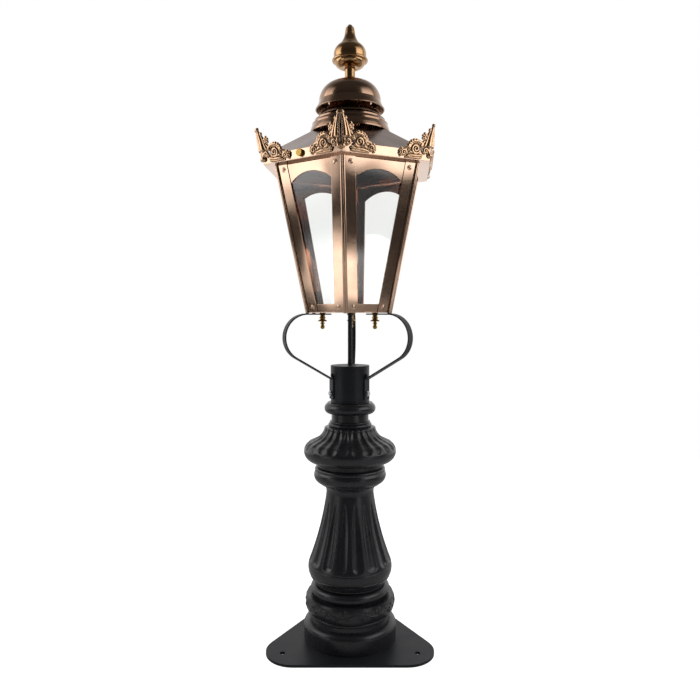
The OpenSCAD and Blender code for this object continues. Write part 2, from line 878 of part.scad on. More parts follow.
module floor_plate()
    color(copper)
        difference() {
            hex_prism(body_r0 - 2, floor_z, floor_t);
            translate([0, 0, floor_z - 1])
                cylinder(d = conduit_d + 2 * bore_fit, h = floor_t + 2, $fn = 32);
            for (c = arm_corners)
                at_arm(c)
                    translate([stud_circle_r, 0, floor_z - 1])
                        cylinder(d = stud_d + 2 * bore_fit, h = floor_t + 2, $fn = 32);
        }

// Section of a corner post, square to the corner line: one half, along a face
module post_half_2d()
    rotate(180 - half_dihedral) {
        translate([0, 0])
            square([post_flange, sheet_t]);
        translate([0, post_d - sheet_t])
            square([post_inner, sheet_t]);
        square([post_web, post_d]);
    }

module post_beads_2d()
    for (side = [-1, 1])
        translate([0.3, side * bead_r * 0.92])
            circle(r = bead_r, $fn = 32);

module post_section_2d() {
    post_half_2d();
    mirror([0, 1])
        post_half_2d();
}

module corner_post(i)
    color(dark_copper)
        difference() {
            union() {
                intersection() {
                    on_corner_line(i)
                        translate([0, 0, -20])
                            linear_extrude(height = face_l + 60)
                                post_section_2d();
                    slab(body_z, body_top);
                }
                intersection() {
                    on_corner_line(i)
                        translate([0, 0, -20])
                            linear_extrude(height = face_l + 60)
                                difference() {
                                    post_beads_2d();
                                    rotate(180 - half_dihedral)
                                        translate([0, sheet_t])
                                            square([40, 40]);
                                    rotate(half_dihedral - 180)
                                        translate([0, -40 - sheet_t])
                                            square([40, 40]);
                                }
                    slab(arm_top, body_top);
                }
            }
            for (f = [i, i + 5])
                screw_spots(f)
                    translate([0, 0, -sheet_t - 0.5])
                        cylinder(d = screw_d + 2 * bore_fit, h = sheet_t + 1, $fn = 24);
        }

// Outline of a face between its corner lines, drawn in by inset, from y0 to y1
module face_outline(inset, y0, y1)
    polygon([
        [-half_w(y0, inset), y0],
        [half_w(y0, inset), y0],
        [half_w(y1, inset), y1],
        [-half_w(y1, inset), y1]
    ]);

screw_d = 3;
crown_y = face_l - arch_drop;
spring_half = half_w(crown_y - arch_rise, post_flange);
arch_r = (pow(spring_half, 2) + pow(arch_rise, 2)) / (2 * arch_rise);

// Puts children at the four screw places of face f
module screw_spots(f)
    on_face(f)
        for (side = [-1, 1])
            for (y = [screw_end, face_l - screw_end])
                translate([side * half_w(y, screw_inset), y, 0])
                    children();

module window_outline()
    intersection() {
        face_outline(post_flange - 1, rail_h, face_l);
        union() {
            translate([-big / 2, 0])
                square([big, crown_y - arch_rise]);
            translate([0, crown_y - arch_r])
                circle(r = arch_r, $fn = 180);
        }
    }

module glazing_frame(i)
    color(copper)
        difference() {
            on_face(i)
                translate([0, 0, -sheet_t - glazing_clear - frame_sheet])
                    linear_extrude(height = frame_sheet)
                        difference() {
                            face_outline(frame_inset, 0.5, face_l - 1);
                            window_outline();
                        }
            screw_spots(i)
                translate([0, 0, -sheet_t - frame_sheet - 1])
                    cylinder(d = screw_d + 2 * bore_fit, h = frame_sheet + 2, $fn = 24);
        }

module glass_pane(i)
    color([0.85, 0.9, 0.9, 0.35])
        on_face(i)
            translate([0, 0, -sheet_t - 2 * glazing_clear - frame_sheet - glass_t])
                linear_extrude(height = glass_t)
                    face_outline(frame_inset, 1.5, face_l - 1.5);

module glazing_screws()
    color(copper)
        for (f = [0 : 5])
            screw_spots(f) {
                translate([0, 0, -sheet_t - frame_sheet])
                    cylinder(d = screw_d, h = sheet_t + frame_sheet + 0.5, $fn = 24);
                cylinder(d1 = screw_head_d, d2 = screw_head_d * 0.62, h = screw_head_d * 0.28, $fn = 24);
            }

module top_frame()
    color(dark_copper)
        difference() {
            union() {
                hex_prism(roof_r, body_top, sheet_t);
                hex_prism(upstand_a / cos30, body_top, sheet_t + upstand_h);
            }
            hex_prism((upstand_a - leaf_t) / cos30, body_top + sheet_t, upstand_h + 1);
            hex_prism(curb_a / cos30, body_top - 1, upstand_h);
        }

module lamp_holder()
    color("#20201f")
        translate([0, 0, holder_z])
            rotate_extrude()
                difference() {
                    union() {
                        square([holder_d / 2 - 5, 12]);
                        translate([0, 8])
                            square([holder_d / 2 - 2, holder_h - 8]);
                        translate([0, holder_h - 16])
                            square([holder_d / 2, 9]);
                    }
                    translate([0, -1])
                        square([conduit_d / 2 + bore_fit, 14]);
                    translate([0, 18])
                        square([13.5, holder_h]);
                }

module lamp_bulb()
    color("#f2efe6")
        translate([0, 0, holder_z + 24])
            rotate_extrude() {
                square([13.2, holder_h - 26]);
                translate([0, holder_h - 26])
                    polygon([
                        [0, 0],
                        [13.2, 0],
                        [bulb_d / 2, bulb_h * 0.3],
                        [bulb_d / 2, bulb_h * 0.42],
                        [bulb_d * 0.36, bulb_h * 0.72],
                        [bulb_d * 0.14, bulb_h * 0.94],
                        [0, bulb_h]
                    ]);
            }

// Six-sided spire from radius r0 at z0 to radius r1 at z1
module hex_spire(r0, z0, r1, z1)
    rotate([0, 0, corner_az(0)])
        translate([0, 0, z0])
            cylinder(r1 = r0, r2 = r1, h = z1 - z0, $fn = 6);

module roof_panels()
    color(copper)
        difference() {
            hex_spire(roof_r, eave_z, roof_top_r, roof_top);
            hex_spire(roof_r - 2 * sheet_t, eave_z - 0.01, roof_top_r - 2 * sheet_t, roof_top - sheet_t);
            translate([0, 0, roof_top - 5])
                cylinder(r = vent_r - sheet_t - 2, h = 10);
        }

module roof_fascia()
    color(copper)
        difference() {
            hex_prism(roof_r, roof_z, fascia_h);
            hex_prism(roof_r - sheet_t / cos30, roof_z - 1, fascia_h + 2);
            at_face(screw_face)
                translate([roof_r * cos30 - 3, 0, thumb_z])
                    rotate([0, 90, 0])
                        cylinder(d = thumb_d + 2 * bore_fit, h = 6, $fn = 32);
        }

// Crest wing on a drawing 80 wide and 80 high, X away from the corner and Y up the eave band
module wing_outline() {
    polygon([
        [-12, 2], [0, 2], [6, 3], [12, 12], [18.5, 23], [29, 13], [58, 6], [66, 20],
        [53, 31], [36, 41], [22, 46], [14, 58], [4.5, 70], [-6, 80], [-12, 80]
    ]);
    for (lobe = [
        [65.5, 13, 12], [51, 11, 6], [37, 26, 16.5], [13.5, 52, 8], [4, 66, 8], [13, 21, 6.5], [-5, 75, 5]
    ])
        translate([lobe[0], lobe[1]])
            circle(r = lobe[2], $fn = 48);
}

// Raised curl: part of a ring round point at, from angle from, over angle sweep
module curl(at, r, t, from, sweep)
    translate([at[0], at[1], crest_t])
        rotate([0, 0, from])
            rotate_extrude(angle = sweep, $fn = 48)
                translate([r, 0])
                    circle(r = t, $fn = 20);

module knob(at, r)
    translate([at[0], at[1], crest_t])
        sphere(r = r, $fn = 24);

// Raised leaf that swells from a thin stem at one point to a round tip at another
module leaf(stem, stem_r, tip, tip_r) {
    run = tip - stem;
    translate([stem[0], stem[1], crest_t])
        rotate([0, 0, atan2(run[1], run[0])])
            rotate([0, 90, 0])
                cylinder(r1 = stem_r, r2 = tip_r, h = norm(run), $fn = 24);
    knob(stem, stem_r * 1.1);
    knob(tip, tip_r * 1.1);
}

module wing_relief() {
    curl([37, 26], 13.6, 2.7, -165, 240);
    curl([38, 26], 6, 2.4, -70, 280);
    curl([65.5, 13], 8.6, 2.6, -200, 310);
    curl([13.5, 52], 5.4, 2.2, -130, 310);
    curl([12.5, 21], 4.2, 1.9, -160, 310);
    knob([65.5, 13], 4);
    knob([51, 11], 4.6);
    knob([13.5, 52], 2.4);
    knob([2.5, 14], 3.2);
    knob([-4.5, 77], 3.4);
    leaf([-5, 70], 2, [2.5, 28], 4.6);
    leaf([4, 60], 2, [11.5, 34], 4.8);
    leaf([-3, 71], 1.6, [5, 66], 3);
}

module crest_wing()
    scale(crest_h / 80)
        intersection() {
            union() {
                linear_extrude(height = crest_t)
                    wing_outline();
                wing_relief();
            }
            translate([-20, 0, 0])
                cube([120, 100, 20]);
        }

module crest(i)
    color(copper)
        at_corner(i)
            translate([roof_r + part_gap / cos30, 0, roof_z]) {
                for (side = [0, 1])
                    mirror([0, side, 0])
                        intersection() {
                            rotate([0, 0, 30])
                                rotate([0, crest_lean, 0])
                                    rotate([90, 0, 90])
                                        crest_wing();
                            translate([-100, 0, 0.4])
                                cube([200, 100, 120]);
                        }
                intersection() {
                    translate([crest_t + 1, 0, crest_h * 0.09])
                        sphere(r = 6, $fn = 32);
                    translate([0, -20, 0.4])
                        cube([30, 40, 30]);
                }
            }

module roof_crossbar()
    color(dark_copper)
        difference() {
            translate([-crossbar_half, -crossbar_w / 2, crossbar_z])
                cube([2 * crossbar_half, crossbar_w, crossbar_t]);
            translate([0, 0, crossbar_z - 1])
                cylinder(d = tie_d + 2 * bore_fit, h = crossbar_t + 2, $fn = 32);
        }

module vent_collar()
    color(dark_copper)
        translate([0, 0, roof_top])
            difference() {
                union() {
                    cylinder(r = vent_r, h = vent_h - bridge_t);
                    cylinder(r = vent_r + 7, h = sheet_t);
                    translate([0, 0, skirt_seat - 2])
                        cylinder(r = vent_r + 5, h = 2);
                }
                translate([0, 0, -1])
                    cylinder(r = vent_r - sheet_t, h = vent_h + 2);
                for (z = [7, vent_h - 14])
                    for (a = [0 : 45 : 179])
                        rotate([0, 0, a + 22.5])
                            translate([-vent_r - 2, -7, z])
                                cube([2 * vent_r + 4, 14, 8]);
            }

// Bar across the collar's upper rim that the tie bolt passes through
module vent_bridge()
    color(dark_copper)
        difference() {
            intersection() {
                translate([0, 0, vent_top - bridge_t])
                    cylinder(r = vent_r, h = bridge_t);
                translate([-vent_r, -9, vent_top - bridge_t - 1])
                    cube([2 * vent_r, 18, bridge_t + 2]);
            }
            cylinder(d = tie_d + 2 * bore_fit, h = big * 2, $fn = 32);
        }

// Side outline of the skirt drawn in by inset: neck, three swept steps and rim, down from its seat
module skirt_2d(inset) {
    d = skirt_drop;
    neck = skirt_neck_r - inset;
    rim = skirt_rim_r - inset;
    top = 2 - inset;
    polygon([
        [0, top],
        [neck, top],
        [neck + 3, -d * 0.15],
        [neck + 9, -d * 0.25],
        [neck + 13, -d * 0.31],
        [neck + 12.5, -d * 0.38],
        [rim - 9, -d * 0.48],
        [rim - 4.5, -d * 0.54],
        [rim - 4.5, -d * 0.62],
        [rim - 1.5, -d * 0.8],
        [rim, -d * 0.93],
        [rim, -d],
        [0, -d]
    ]);
}

module chimney_skirt()
    color(copper)
        translate([0, 0, skirt_z])
            rotate_extrude($fn = 96)
                difference() {
                    skirt_2d(0);
                    translate([0, -0.01])
                        skirt_2d(skirt_t);
                    square([vent_r + bore_fit, 5]);
                }

module spacer_tube()
    color(dark_copper)
        translate([0, 0, vent_top])
            difference() {
                cylinder(r = tie_d / 2 + 3, h = dome_top - sheet_t - vent_top, $fn = 32);
                translate([0, 0, -1])
                    cylinder(d = tie_d + 2 * bore_fit, h = big, $fn = 32);
            }

// Dome outline grown inward by inset
module dome_2d(inset) {
    shoulder_x = dome_r - dome_round;
    square([dome_r - inset - 6, dome_h - dome_round]);
    intersection() {
        translate([shoulder_x, dome_h - dome_round])
            circle(r = dome_round - inset, $fn = 128);
        translate([0, dome_h - dome_round])
            square([big, dome_round - inset]);
    }
    translate([0, dome_h - dome_round])
        square([shoulder_x, dome_round - inset]);
    polygon([
        [0, 0],
        [dome_rim_r - inset, 0],
        [dome_r + 2 - inset, dome_flare_h * 0.72],
        [dome_r - inset, dome_flare_h],
        [dome_r - inset, dome_h - dome_round],
        [0, dome_h - dome_round]
    ]);
}

module vent_dome()
    color(copper)
        translate([0, 0, dome_z])
            rotate_extrude($fn = 96)
                difference() {
                    union() {
                        dome_2d(0);
                        bead_2d(dome_rim_r + 0.8, 1.5, 1.5, 32);
                    }
                    translate([0, -0.01])
                        dome_2d(sheet_t);
                    translate([0, dome_h - 5])
                        square([tie_d / 2 + bore_fit, 10]);
                }

// Half outline of the finial from its base up: flared neck, cup, bead, onion and spire
module finial_2d() {
    bead_z = finial_h * 0.375;
    cup_r = 18;
    flare_r = 10;
    onion_r = 25;
    onion_z = bead_z + 13;
    spire_z = finial_h * 0.65;
    square([finial_neck_r, bead_z]);
    difference() {
        square([finial_neck_r + flare_r, flare_r + 2]);
        translate([finial_neck_r + flare_r, flare_r + 2])
            circle(r = flare_r, $fn = 48);
    }
    intersection() {
        translate([finial_r - 4.5 - cup_r, bead_z + 1])
            circle(r = cup_r, $fn = 96);
        square([big, bead_z]);
    }
    bead_2d(finial_r, 3.5, bead_z, 32);
    intersection() {
        translate([finial_r - 3.6 - onion_r, onion_z])
            circle(r = onion_r, $fn = 96);
        translate([0, bead_z])
            square([big, spire_z - bead_z]);
    }
    difference() {
        polygon([
            [0, bead_z + 12],
            [finial_r * 0.74, bead_z + 25],
            [finial_r * 0.6, spire_z],
            [finial_r * 0.275, finial_h * 0.863],
            [finial_r * 0.24, finial_h * 0.93],
            [finial_r * 0.1, finial_h * 0.985],
            [0, finial_h]
        ]);
        translate([finial_r * 1.37, finial_h * 0.89])
            circle(r = finial_r * 1.095, $fn = 128);
    }
}

module finial()
    color(copper)
        translate([0, 0, dome_top])
            difference() {
                rotate_extrude($fn = 96)
                    finial_2d();
                translate([0, 0, -1])
                    cylinder(d = tie_d + 2 * bore_fit, h = 26, $fn = 32);
            }

module tie_bolt()
    color(stainless) {
        translate([0, 0, crossbar_z - 1])
            cylinder(d = tie_d, h = dome_top + 22 - crossbar_z, $fn = 32);
        translate([0, 0, crossbar_z - 7])
            cylinder(d = 18, h = 7, $fn = 6);
    }

// Knuckles and gaps of the hinge: three knuckles along its length
knuckle_l = hinge_l / 3;
knuckle_gap = 0.2;

module knuckle(y0, y1)
    translate([hinge_a, y0, hinge_z])
        rotate([-90, 0, 0])
            difference() {
                cylinder(r = hinge_r, h = y1 - y0, $fn = 32);
                translate([0, 0, -1])
                    cylinder(d = hinge_pin_d + 2 * hinge_clear, h = y1 - y0 + 2, $fn = 32);
            }

module hinge_body_leaf()
    color(yellow_brass)
        at_face(hinge_face)
            difference() {
                union() {
                    translate([hinge_a - hinge_r - 18, -hinge_l / 2, hinge_z - sheet_t - leaf_t])
                        cube([17, hinge_l, leaf_t]);
                    for (side = [-1, 1]) {
                        y0 = side * (hinge_l / 2 + knuckle_l / 2) / 2 - knuckle_l / 2 + knuckle_gap / 2;
                        knuckle(y0, y0 + knuckle_l - knuckle_gap);
                        translate([hinge_a - hinge_r - 2, y0, hinge_z - sheet_t - leaf_t])
                            cube([hinge_r + 1, knuckle_l - knuckle_gap, leaf_t]);
                    }
                }
                translate([hinge_a, -hinge_l, hinge_z])
                    rotate([-90, 0, 0])
                        cylinder(d = hinge_pin_d + 2 * hinge_clear, h = 2 * hinge_l, $fn = 32);
            }

module hinge_roof_leaf()
    color(yellow_brass)
        at_face(hinge_face)
            difference() {
                union() {
                    translate([roof_r * cos30, -hinge_l / 2, hinge_z + hinge_r])
                        cube([leaf_t, hinge_l, fascia_h - hinge_r - 1]);
                    translate([roof_r * cos30, -knuckle_l / 2 + knuckle_gap / 2, hinge_z + 1])
                        cube([leaf_t, knuckle_l - knuckle_gap, fascia_h / 2]);
                    knuckle(-knuckle_l / 2 + knuckle_gap / 2, knuckle_l / 2 - knuckle_gap / 2);
                }
                translate([hinge_a, -hinge_l, hinge_z])
                    rotate([-90, 0, 0])
                        cylinder(d = hinge_pin_d + 2 * hinge_clear, h = 2 * hinge_l, $fn = 32);
            }

module hinge_pin()
    color(stainless)
        at_face(hinge_face)
            translate([hinge_a, -hinge_l / 2 - 1.4, hinge_z])
                rotate([-90, 0, 0]) {
                    cylinder(d = hinge_pin_d, h = hinge_l + 2.8, $fn = 32);
                    cylinder(d = hinge_pin_d + 2, h = 1.2, $fn = 32);
                    translate([0, 0, hinge_l + 1.6])
                        cylinder(d = hinge_pin_d + 2, h = 1.2, $fn = 32);
                }

thumb_tip_a = upstand_a + 0.5;
boss_t = 3;

module thumb_screw()
    color(yellow_brass)
        at_face(screw_face)
            translate([thumb_tip_a, 0, thumb_z])
                rotate([0, 90, 0])
                    union() {
                        cylinder(d = thumb_d, h = roof_r * cos30 + 1 - thumb_tip_a, $fn = 32);
                        translate([0, 0, roof_r * cos30 + 0.5 - thumb_tip_a])
                            difference() {
                                cylinder(d = thumb_head_d, h = thumb_head_t, $fn = 48);
                                for (a = [0 : 30 : 359])
                                    rotate([0, 0, a])
                                        translate([thumb_head_d / 2 + 0.4, 0, -1])
                                            cylinder(r = 1.2, h = thumb_head_t + 2, $fn = 16);
                            }
                    }

module screw_boss()
    color(yellow_brass)
        at_face(screw_face)
            translate([roof_r * cos30 - sheet_t - boss_t, 0, thumb_z])
                rotate([0, 90, 0])
                    difference() {
                        cylinder(d = thumb_d + 5, h = boss_t, $fn = 6);
                        translate([0, 0, -1])
                            cylinder(d = thumb_d + 2 * bore_fit, h = boss_t + 2, $fn = 32);
                    }

base_plate();
post_tube();
base_casting();
shaft_casting();
capital_casting();
post_sleeve();
sleeve_cap();
strap(arm_corners[0]);  // strap_right
strap(arm_corners[1]);  // strap_back
strap(arm_corners[2]);  // strap_left
foot_bolts();
set_screws();
conduit_tube();
conduit_nuts();
floor_studs();
finial_nuts();
floor_plate();
for (i = [0 : 5]) {
    corner_post(i);
    glazing_frame(i);
    glass_pane(i);
    crest(i);
}
glazing_screws();
top_frame();
lamp_holder();
lamp_bulb();
roof_panels();
roof_fascia();
roof_crossbar();
vent_collar();
vent_bridge();
chimney_skirt();
spacer_tube();
vent_dome();
finial();
tie_bolt();
hinge_body_leaf();
hinge_roof_leaf();
hinge_pin();
thumb_screw();
screw_boss();
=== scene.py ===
import math

import bmesh
import bpy
import numpy as np
from mathutils import Matrix, Vector
from mathutils.bvhtree import BVHTree


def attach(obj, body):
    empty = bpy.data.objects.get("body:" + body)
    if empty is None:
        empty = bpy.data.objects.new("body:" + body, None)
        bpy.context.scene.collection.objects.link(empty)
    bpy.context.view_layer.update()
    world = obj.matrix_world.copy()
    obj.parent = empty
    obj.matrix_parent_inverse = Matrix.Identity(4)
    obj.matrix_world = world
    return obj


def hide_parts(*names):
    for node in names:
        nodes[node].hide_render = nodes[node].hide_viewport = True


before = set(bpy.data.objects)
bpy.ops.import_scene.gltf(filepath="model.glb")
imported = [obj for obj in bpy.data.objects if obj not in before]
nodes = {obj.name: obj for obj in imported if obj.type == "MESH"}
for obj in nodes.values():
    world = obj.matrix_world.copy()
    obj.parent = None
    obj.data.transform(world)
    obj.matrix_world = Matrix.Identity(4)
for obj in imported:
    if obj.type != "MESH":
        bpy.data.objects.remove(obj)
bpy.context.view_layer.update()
mm = 0.001
# The lantern is a hexagon: turn from side to side, and half its width over the radius of its corners
sides = 6
sideTurn = 60
flatShare = math.cos(math.radians(30))
print("frame loaded:", len(nodes), "nodes")


# Colours and nodes

def linearColour(hexCode):
    channels = [int(hexCode[i:i + 2], 16) / 255 for i in (1, 3, 5)]
    return tuple(c / 12.92 if c <= 0.04045 else ((c + 0.055) / 1.055) ** 2.4 for c in channels) + (1.0,)


def addNode(tree, kind, settings=None, values=None, links=None):
    made = tree.nodes.new(kind)
    for name, value in (settings or {}).items():
        setattr(made, name, value)
    for socket, value in (values or {}).items():
        made.inputs[socket].default_value = value
    for socket, source in (links or {}).items():
        tree.links.new(source, made.inputs[socket])
    return made


# Direction away from the lantern's axis, level with the ground
def outwardWay(tree, place):
    flat = addNode(tree, "ShaderNodeVectorMath", {"operation": "MULTIPLY"}, {1: (1, 1, 0)}, {0: place})
    out = addNode(tree, "ShaderNodeVectorMath", {"operation": "NORMALIZE"}, links={0: flat.outputs[0]})
    return out.outputs[0]


def newMaterial(name):
    made = bpy.data.materials.new(name)
    made.use_nodes = True
    made.node_tree.nodes.clear()
    return made


# Span that the values of a noise fill, and what the materials of one family share
noiseSpan = {"From Min": 0.3, "From Max": 0.7}
metalBase = {
    "cloudDetail": 4, "cloudRough": 0.6,
    "hollowShadeSamples": 8, "innerSpan": {"From Min": -0.25, "From Max": -0.45},
    "grainDetail": 3, "grainRough": 0.65, "grainReach": 0.0002, "edge": 0.0003, "edgeSamples": 6,
    "waveDetail": 1.0, "lacquer": 0.0, "lacquerHaze": 0.08,
}
paintBase = {
    "cloudDetail": 5, "cloudRough": 0.6, "peelDetail": 2, "peelStrength": 0.6,
    "sandSize": 0.03, "sandDetail": 3, "refraction": 1.5,
}
glassBase = {
    "filmSize": 0.04, "filmDetail": 3, "filmSpan": {"From Min": 0.35, "From Max": 0.7},
    "frost": 0.0, "refraction": 1.5,
}


# Metals: two tones, painted shade in the hollows and on the inner faces, grain in the haze, soft edges and
# slow waves
def metalMaterial(name, look):
    look = {**metalBase, **look}
    made = newMaterial(name)
    tree = made.node_tree
    place = addNode(tree, "ShaderNodeTexCoord").outputs["Object"]
    cloud = addNode(tree, "ShaderNodeTexNoise", links={"Vector": place},
                    values={"Scale": 1 / look["cloudSize"], "Detail": look["cloudDetail"],
                            "Roughness": look["cloudRough"]})
    tone = addNode(tree, "ShaderNodeMix", {"data_type": "RGBA"},
                   {6: linearColour(look["deep"]), 7: linearColour(look["bright"])},
                   {"Factor": cloud.outputs["Fac"]})
    colour = tone.outputs[2]
    # Painted shade: the colour turns dark brown where ambient occlusion finds a hollow
    if "hollowShade" in look:
        hollow = addNode(tree, "ShaderNodeAmbientOcclusion", {"samples": look["hollowShadeSamples"]},
                         {"Distance": look["hollowShadeDepth"]})
        unshadedShare = addNode(tree, "ShaderNodeMapRange", values=look["hollowShadeSpan"],
                        links={"Value": hollow.outputs["AO"]})
        hollowShaded = addNode(tree, "ShaderNodeMix", {"data_type": "RGBA"}, {6: linearColour(look["hollowShade"])},
                          {"Factor": unshadedShare.outputs[0], 7: colour})
        colour = hollowShaded.outputs[2]
    # Painted shade: faces that turn towards the lantern's axis take a darker brown, for the shade inside the
    # lantern
    if "inside" in look:
        turned = addNode(tree, "ShaderNodeVectorTransform",
                         {"vector_type": "NORMAL", "convert_from": "WORLD", "convert_to": "OBJECT"},
                         links={0: addNode(tree, "ShaderNodeNewGeometry").outputs["True Normal"]})
        facing = addNode(tree, "ShaderNodeVectorMath", {"operation": "DOT_PRODUCT"},
                         links={0: outwardWay(tree, place), 1: turned.outputs[0]})
        within = addNode(tree, "ShaderNodeMapRange", values=look["innerSpan"],
                         links={"Value": facing.outputs["Value"]})
        insideShaded = addNode(tree, "ShaderNodeMix", {"data_type": "RGBA"}, {7: linearColour(look["inside"])},
                         {"Factor": within.outputs[0], 6: colour})
        colour = insideShaded.outputs[2]
    lines = addNode(tree, "ShaderNodeMapping", values={"Scale": look["grainScale"]}, links={"Vector": place})
    grain = addNode(tree, "ShaderNodeTexNoise", links={"Vector": lines.outputs[0]},
                    values={"Scale": 1.0, "Detail": look["grainDetail"], "Roughness": look["grainRough"]})
    haze = addNode(tree, "ShaderNodeMapRange", links={"Value": grain.outputs["Fac"]},
                   values={**noiseSpan, "To Min": look["glossy"], "To Max": look["dull"]})
    edge = addNode(tree, "ShaderNodeBevel", {"samples": look["edgeSamples"]}, {"Radius": look["edge"]})
    fine = addNode(tree, "ShaderNodeBump",
                   values={"Strength": look["grainDepth"], "Distance": look["grainReach"]},
                   links={"Height": grain.outputs["Fac"], "Normal": edge.outputs[0]})
    wave = addNode(tree, "ShaderNodeTexNoise", links={"Vector": place},
                   values={"Scale": 1 / look["waveSize"], "Detail": look["waveDetail"]})
    dent = addNode(tree, "ShaderNodeBump", values={"Strength": 1.0, "Distance": look["waveDepth"]},
                   links={"Height": wave.outputs["Fac"], "Normal": fine.outputs[0]})
    coat = {"Coat Weight": look["lacquer"], "Coat Roughness": look["lacquerHaze"]}
    shader = addNode(tree, "ShaderNodeBsdfPrincipled", values={"Metallic": 1.0, **coat},
                     links={"Base Color": colour, "Roughness": haze.outputs[0],
                            "Normal": dent.outputs[0]})
    addNode(tree, "ShaderNodeOutputMaterial", links={"Surface": shader.outputs[0]})
    return made


# Paints: one tone with faint clouds, orange peel and the unevenness of what lies under it
def paintMaterial(name, look):
    look = {**paintBase, **look}
    made = newMaterial(name)
    tree = made.node_tree
    place = addNode(tree, "ShaderNodeTexCoord").outputs["Object"]
    cloud = addNode(tree, "ShaderNodeTexNoise", links={"Vector": place},
                    values={"Scale": 1 / look["cloudSize"], "Detail": look["cloudDetail"],
                            "Roughness": look["cloudRough"]})
    tone = addNode(tree, "ShaderNodeMix", {"data_type": "RGBA"},
                   {6: linearColour(look["deep"]), 7: linearColour(look["bright"])},
                   {"Factor": cloud.outputs["Fac"]})
    haze = addNode(tree, "ShaderNodeMapRange", links={"Value": cloud.outputs["Fac"]},
                   values={**noiseSpan, "To Min": look["glossy"], "To Max": look["dull"]})
    peel = addNode(tree, "ShaderNodeTexNoise", links={"Vector": place},
                   values={"Scale": 1 / look["peelSize"], "Detail": look["peelDetail"]})
    bump = addNode(tree, "ShaderNodeBump", links={"Height": peel.outputs["Fac"]},
                   values={"Strength": look["peelStrength"], "Distance": look["peelDepth"]})
    sand = addNode(tree, "ShaderNodeTexNoise", links={"Vector": place},
                   values={"Scale": 1 / look["sandSize"], "Detail": look["sandDetail"]})
    skin = addNode(tree, "ShaderNodeBump", values={"Strength": 1.0, "Distance": look["sandDepth"]},
                   links={"Height": sand.outputs["Fac"], "Normal": bump.outputs[0]})
    shader = addNode(tree, "ShaderNodeBsdfPrincipled",
                     values={"IOR": look["refraction"], "Specular IOR Level": look["gloss"]},
                     links={"Base Color": tone.outputs[2], "Roughness": haze.outputs[0],
                            "Normal": skin.outputs[0]})
    addNode(tree, "ShaderNodeOutputMaterial", links={"Surface": shader.outputs[0]})
    return made


# Glass: a faint film of dust in the haze
def glassMaterial(name, look):
    look = {**glassBase, **look}
    made = newMaterial(name)
    tree = made.node_tree
    place = addNode(tree, "ShaderNodeTexCoord").outputs["Object"]
    film = addNode(tree, "ShaderNodeTexNoise", links={"Vector": place},
                   values={"Scale": 1 / look["filmSize"], "Detail": look["filmDetail"]})
    haze = addNode(tree, "ShaderNodeMapRange", links={"Value": film.outputs["Fac"]},
                   values={**look["filmSpan"], "To Min": look["clearest"], "To Max": look["haziest"]})
    clear = {"Transmission Weight": 1.0 - look["frost"], "IOR": look["refraction"]}
    shader = addNode(tree, "ShaderNodeBsdfPrincipled", links={"Roughness": haze.outputs[0]},
                     values={"Base Color": linearColour(look["tint"]), **clear})
    addNode(tree, "ShaderNodeOutputMaterial", links={"Surface": shader.outputs[0]})
    return made


# Lines per metre of the grain, drawn out along the sheet or in rings round the axis; the sheet's is coarser
# than real polishing marks, so that it shows
sheetGrain = (60, 60, 900)
spunGrain = (40, 40, 2600)
# Rolled copper sheet, polished and lacquered: mirror-like, rosy, with slow waves from the rolling; its faces
# that turn towards the axis are painted a darker brown, as painted shade inside the lantern
copperSheet = metalMaterial("PolishedCopperSheet", {
    "deep": "#c79f84", "bright": "#e2c2a9", "cloudSize": 0.05, "glossy": 0.06, "dull": 0.12,
    "grainScale": sheetGrain, "grainDepth": 0.03, "waveSize": 0.11, "waveDepth": 0.0018,
    "lacquer": 0.25, "edge": 0.0009, "inside": "#8c5c44"})
# The same sheet on the slopes, rougher, and painted darker and grey-brown: painted shade on the slopes
shadedCopperRoof = metalMaterial("ShadedCopperRoof", {
    "deep": "#7d6358", "bright": "#a08478", "cloudSize": 0.09, "glossy": 0.17, "dull": 0.22,
    "grainScale": (90, 90, 90), "grainDepth": 0.03, "waveSize": 0.11, "waveDepth": 0.0020, "lacquer": 0.15})
# Copper spun on a lathe: dark brown, with fine rings round the axis
copperSpun = metalMaterial("SpunCopperCowl", {
    "deep": "#80614c", "bright": "#ad8c74", "cloudSize": 0.08, "glossy": 0.12, "dull": 0.22,
    "grainScale": spunGrain, "grainDepth": 0.25, "waveSize": 0.09, "waveDepth": 0.0008, "lacquer": 0.2})
# Cast copper, polished on its high places, with painted shade in its hollows
copperCast = metalMaterial("CastCopperPolished", {
    "deep": "#ad8060", "bright": "#e6c29c", "cloudSize": 0.012, "glossy": 0.04, "dull": 0.10,
    "hollowShade": "#180c06", "hollowShadeDepth": 0.005, "hollowShadeSpan": {"From Min": 0.42, "From Max": 0.95},
    "grainScale": (500, 500, 500), "grainDepth": 0.15, "waveSize": 0.02, "waveDepth": 0.0003, "lacquer": 0.2})
# Copper turned and polished all over: more golden than the cowl under it
copperTurned = metalMaterial("TurnedCopperFinial", {
    "deep": "#966f47", "bright": "#c29a6d", "cloudSize": 0.03, "glossy": 0.10, "dull": 0.22,
    "grainScale": spunGrain, "grainDepth": 0.15, "waveSize": 0.04, "waveDepth": 0.0003, "lacquer": 0.2})
# Turned yellow brass, bright, with a greenish cast in its depth
brass = metalMaterial("TurnedBrass", {
    "deep": "#8e6c2f", "bright": "#bd9b55", "cloudSize": 0.01, "glossy": 0.14, "dull": 0.26,
    "grainScale": spunGrain, "grainDepth": 0.2, "waveSize": 0.02, "waveDepth": 0.0001})
# Stainless steel fasteners: grey, evenly satin
stainless = metalMaterial("StainlessFastener", {
    "deep": "#9b9da0", "bright": "#c9cbcd", "cloudSize": 0.01, "glossy": 0.2, "dull": 0.34,
    "grainScale": (900, 900, 900), "grainDepth": 0.15, "waveSize": 0.02, "waveDepth": 0.0001})
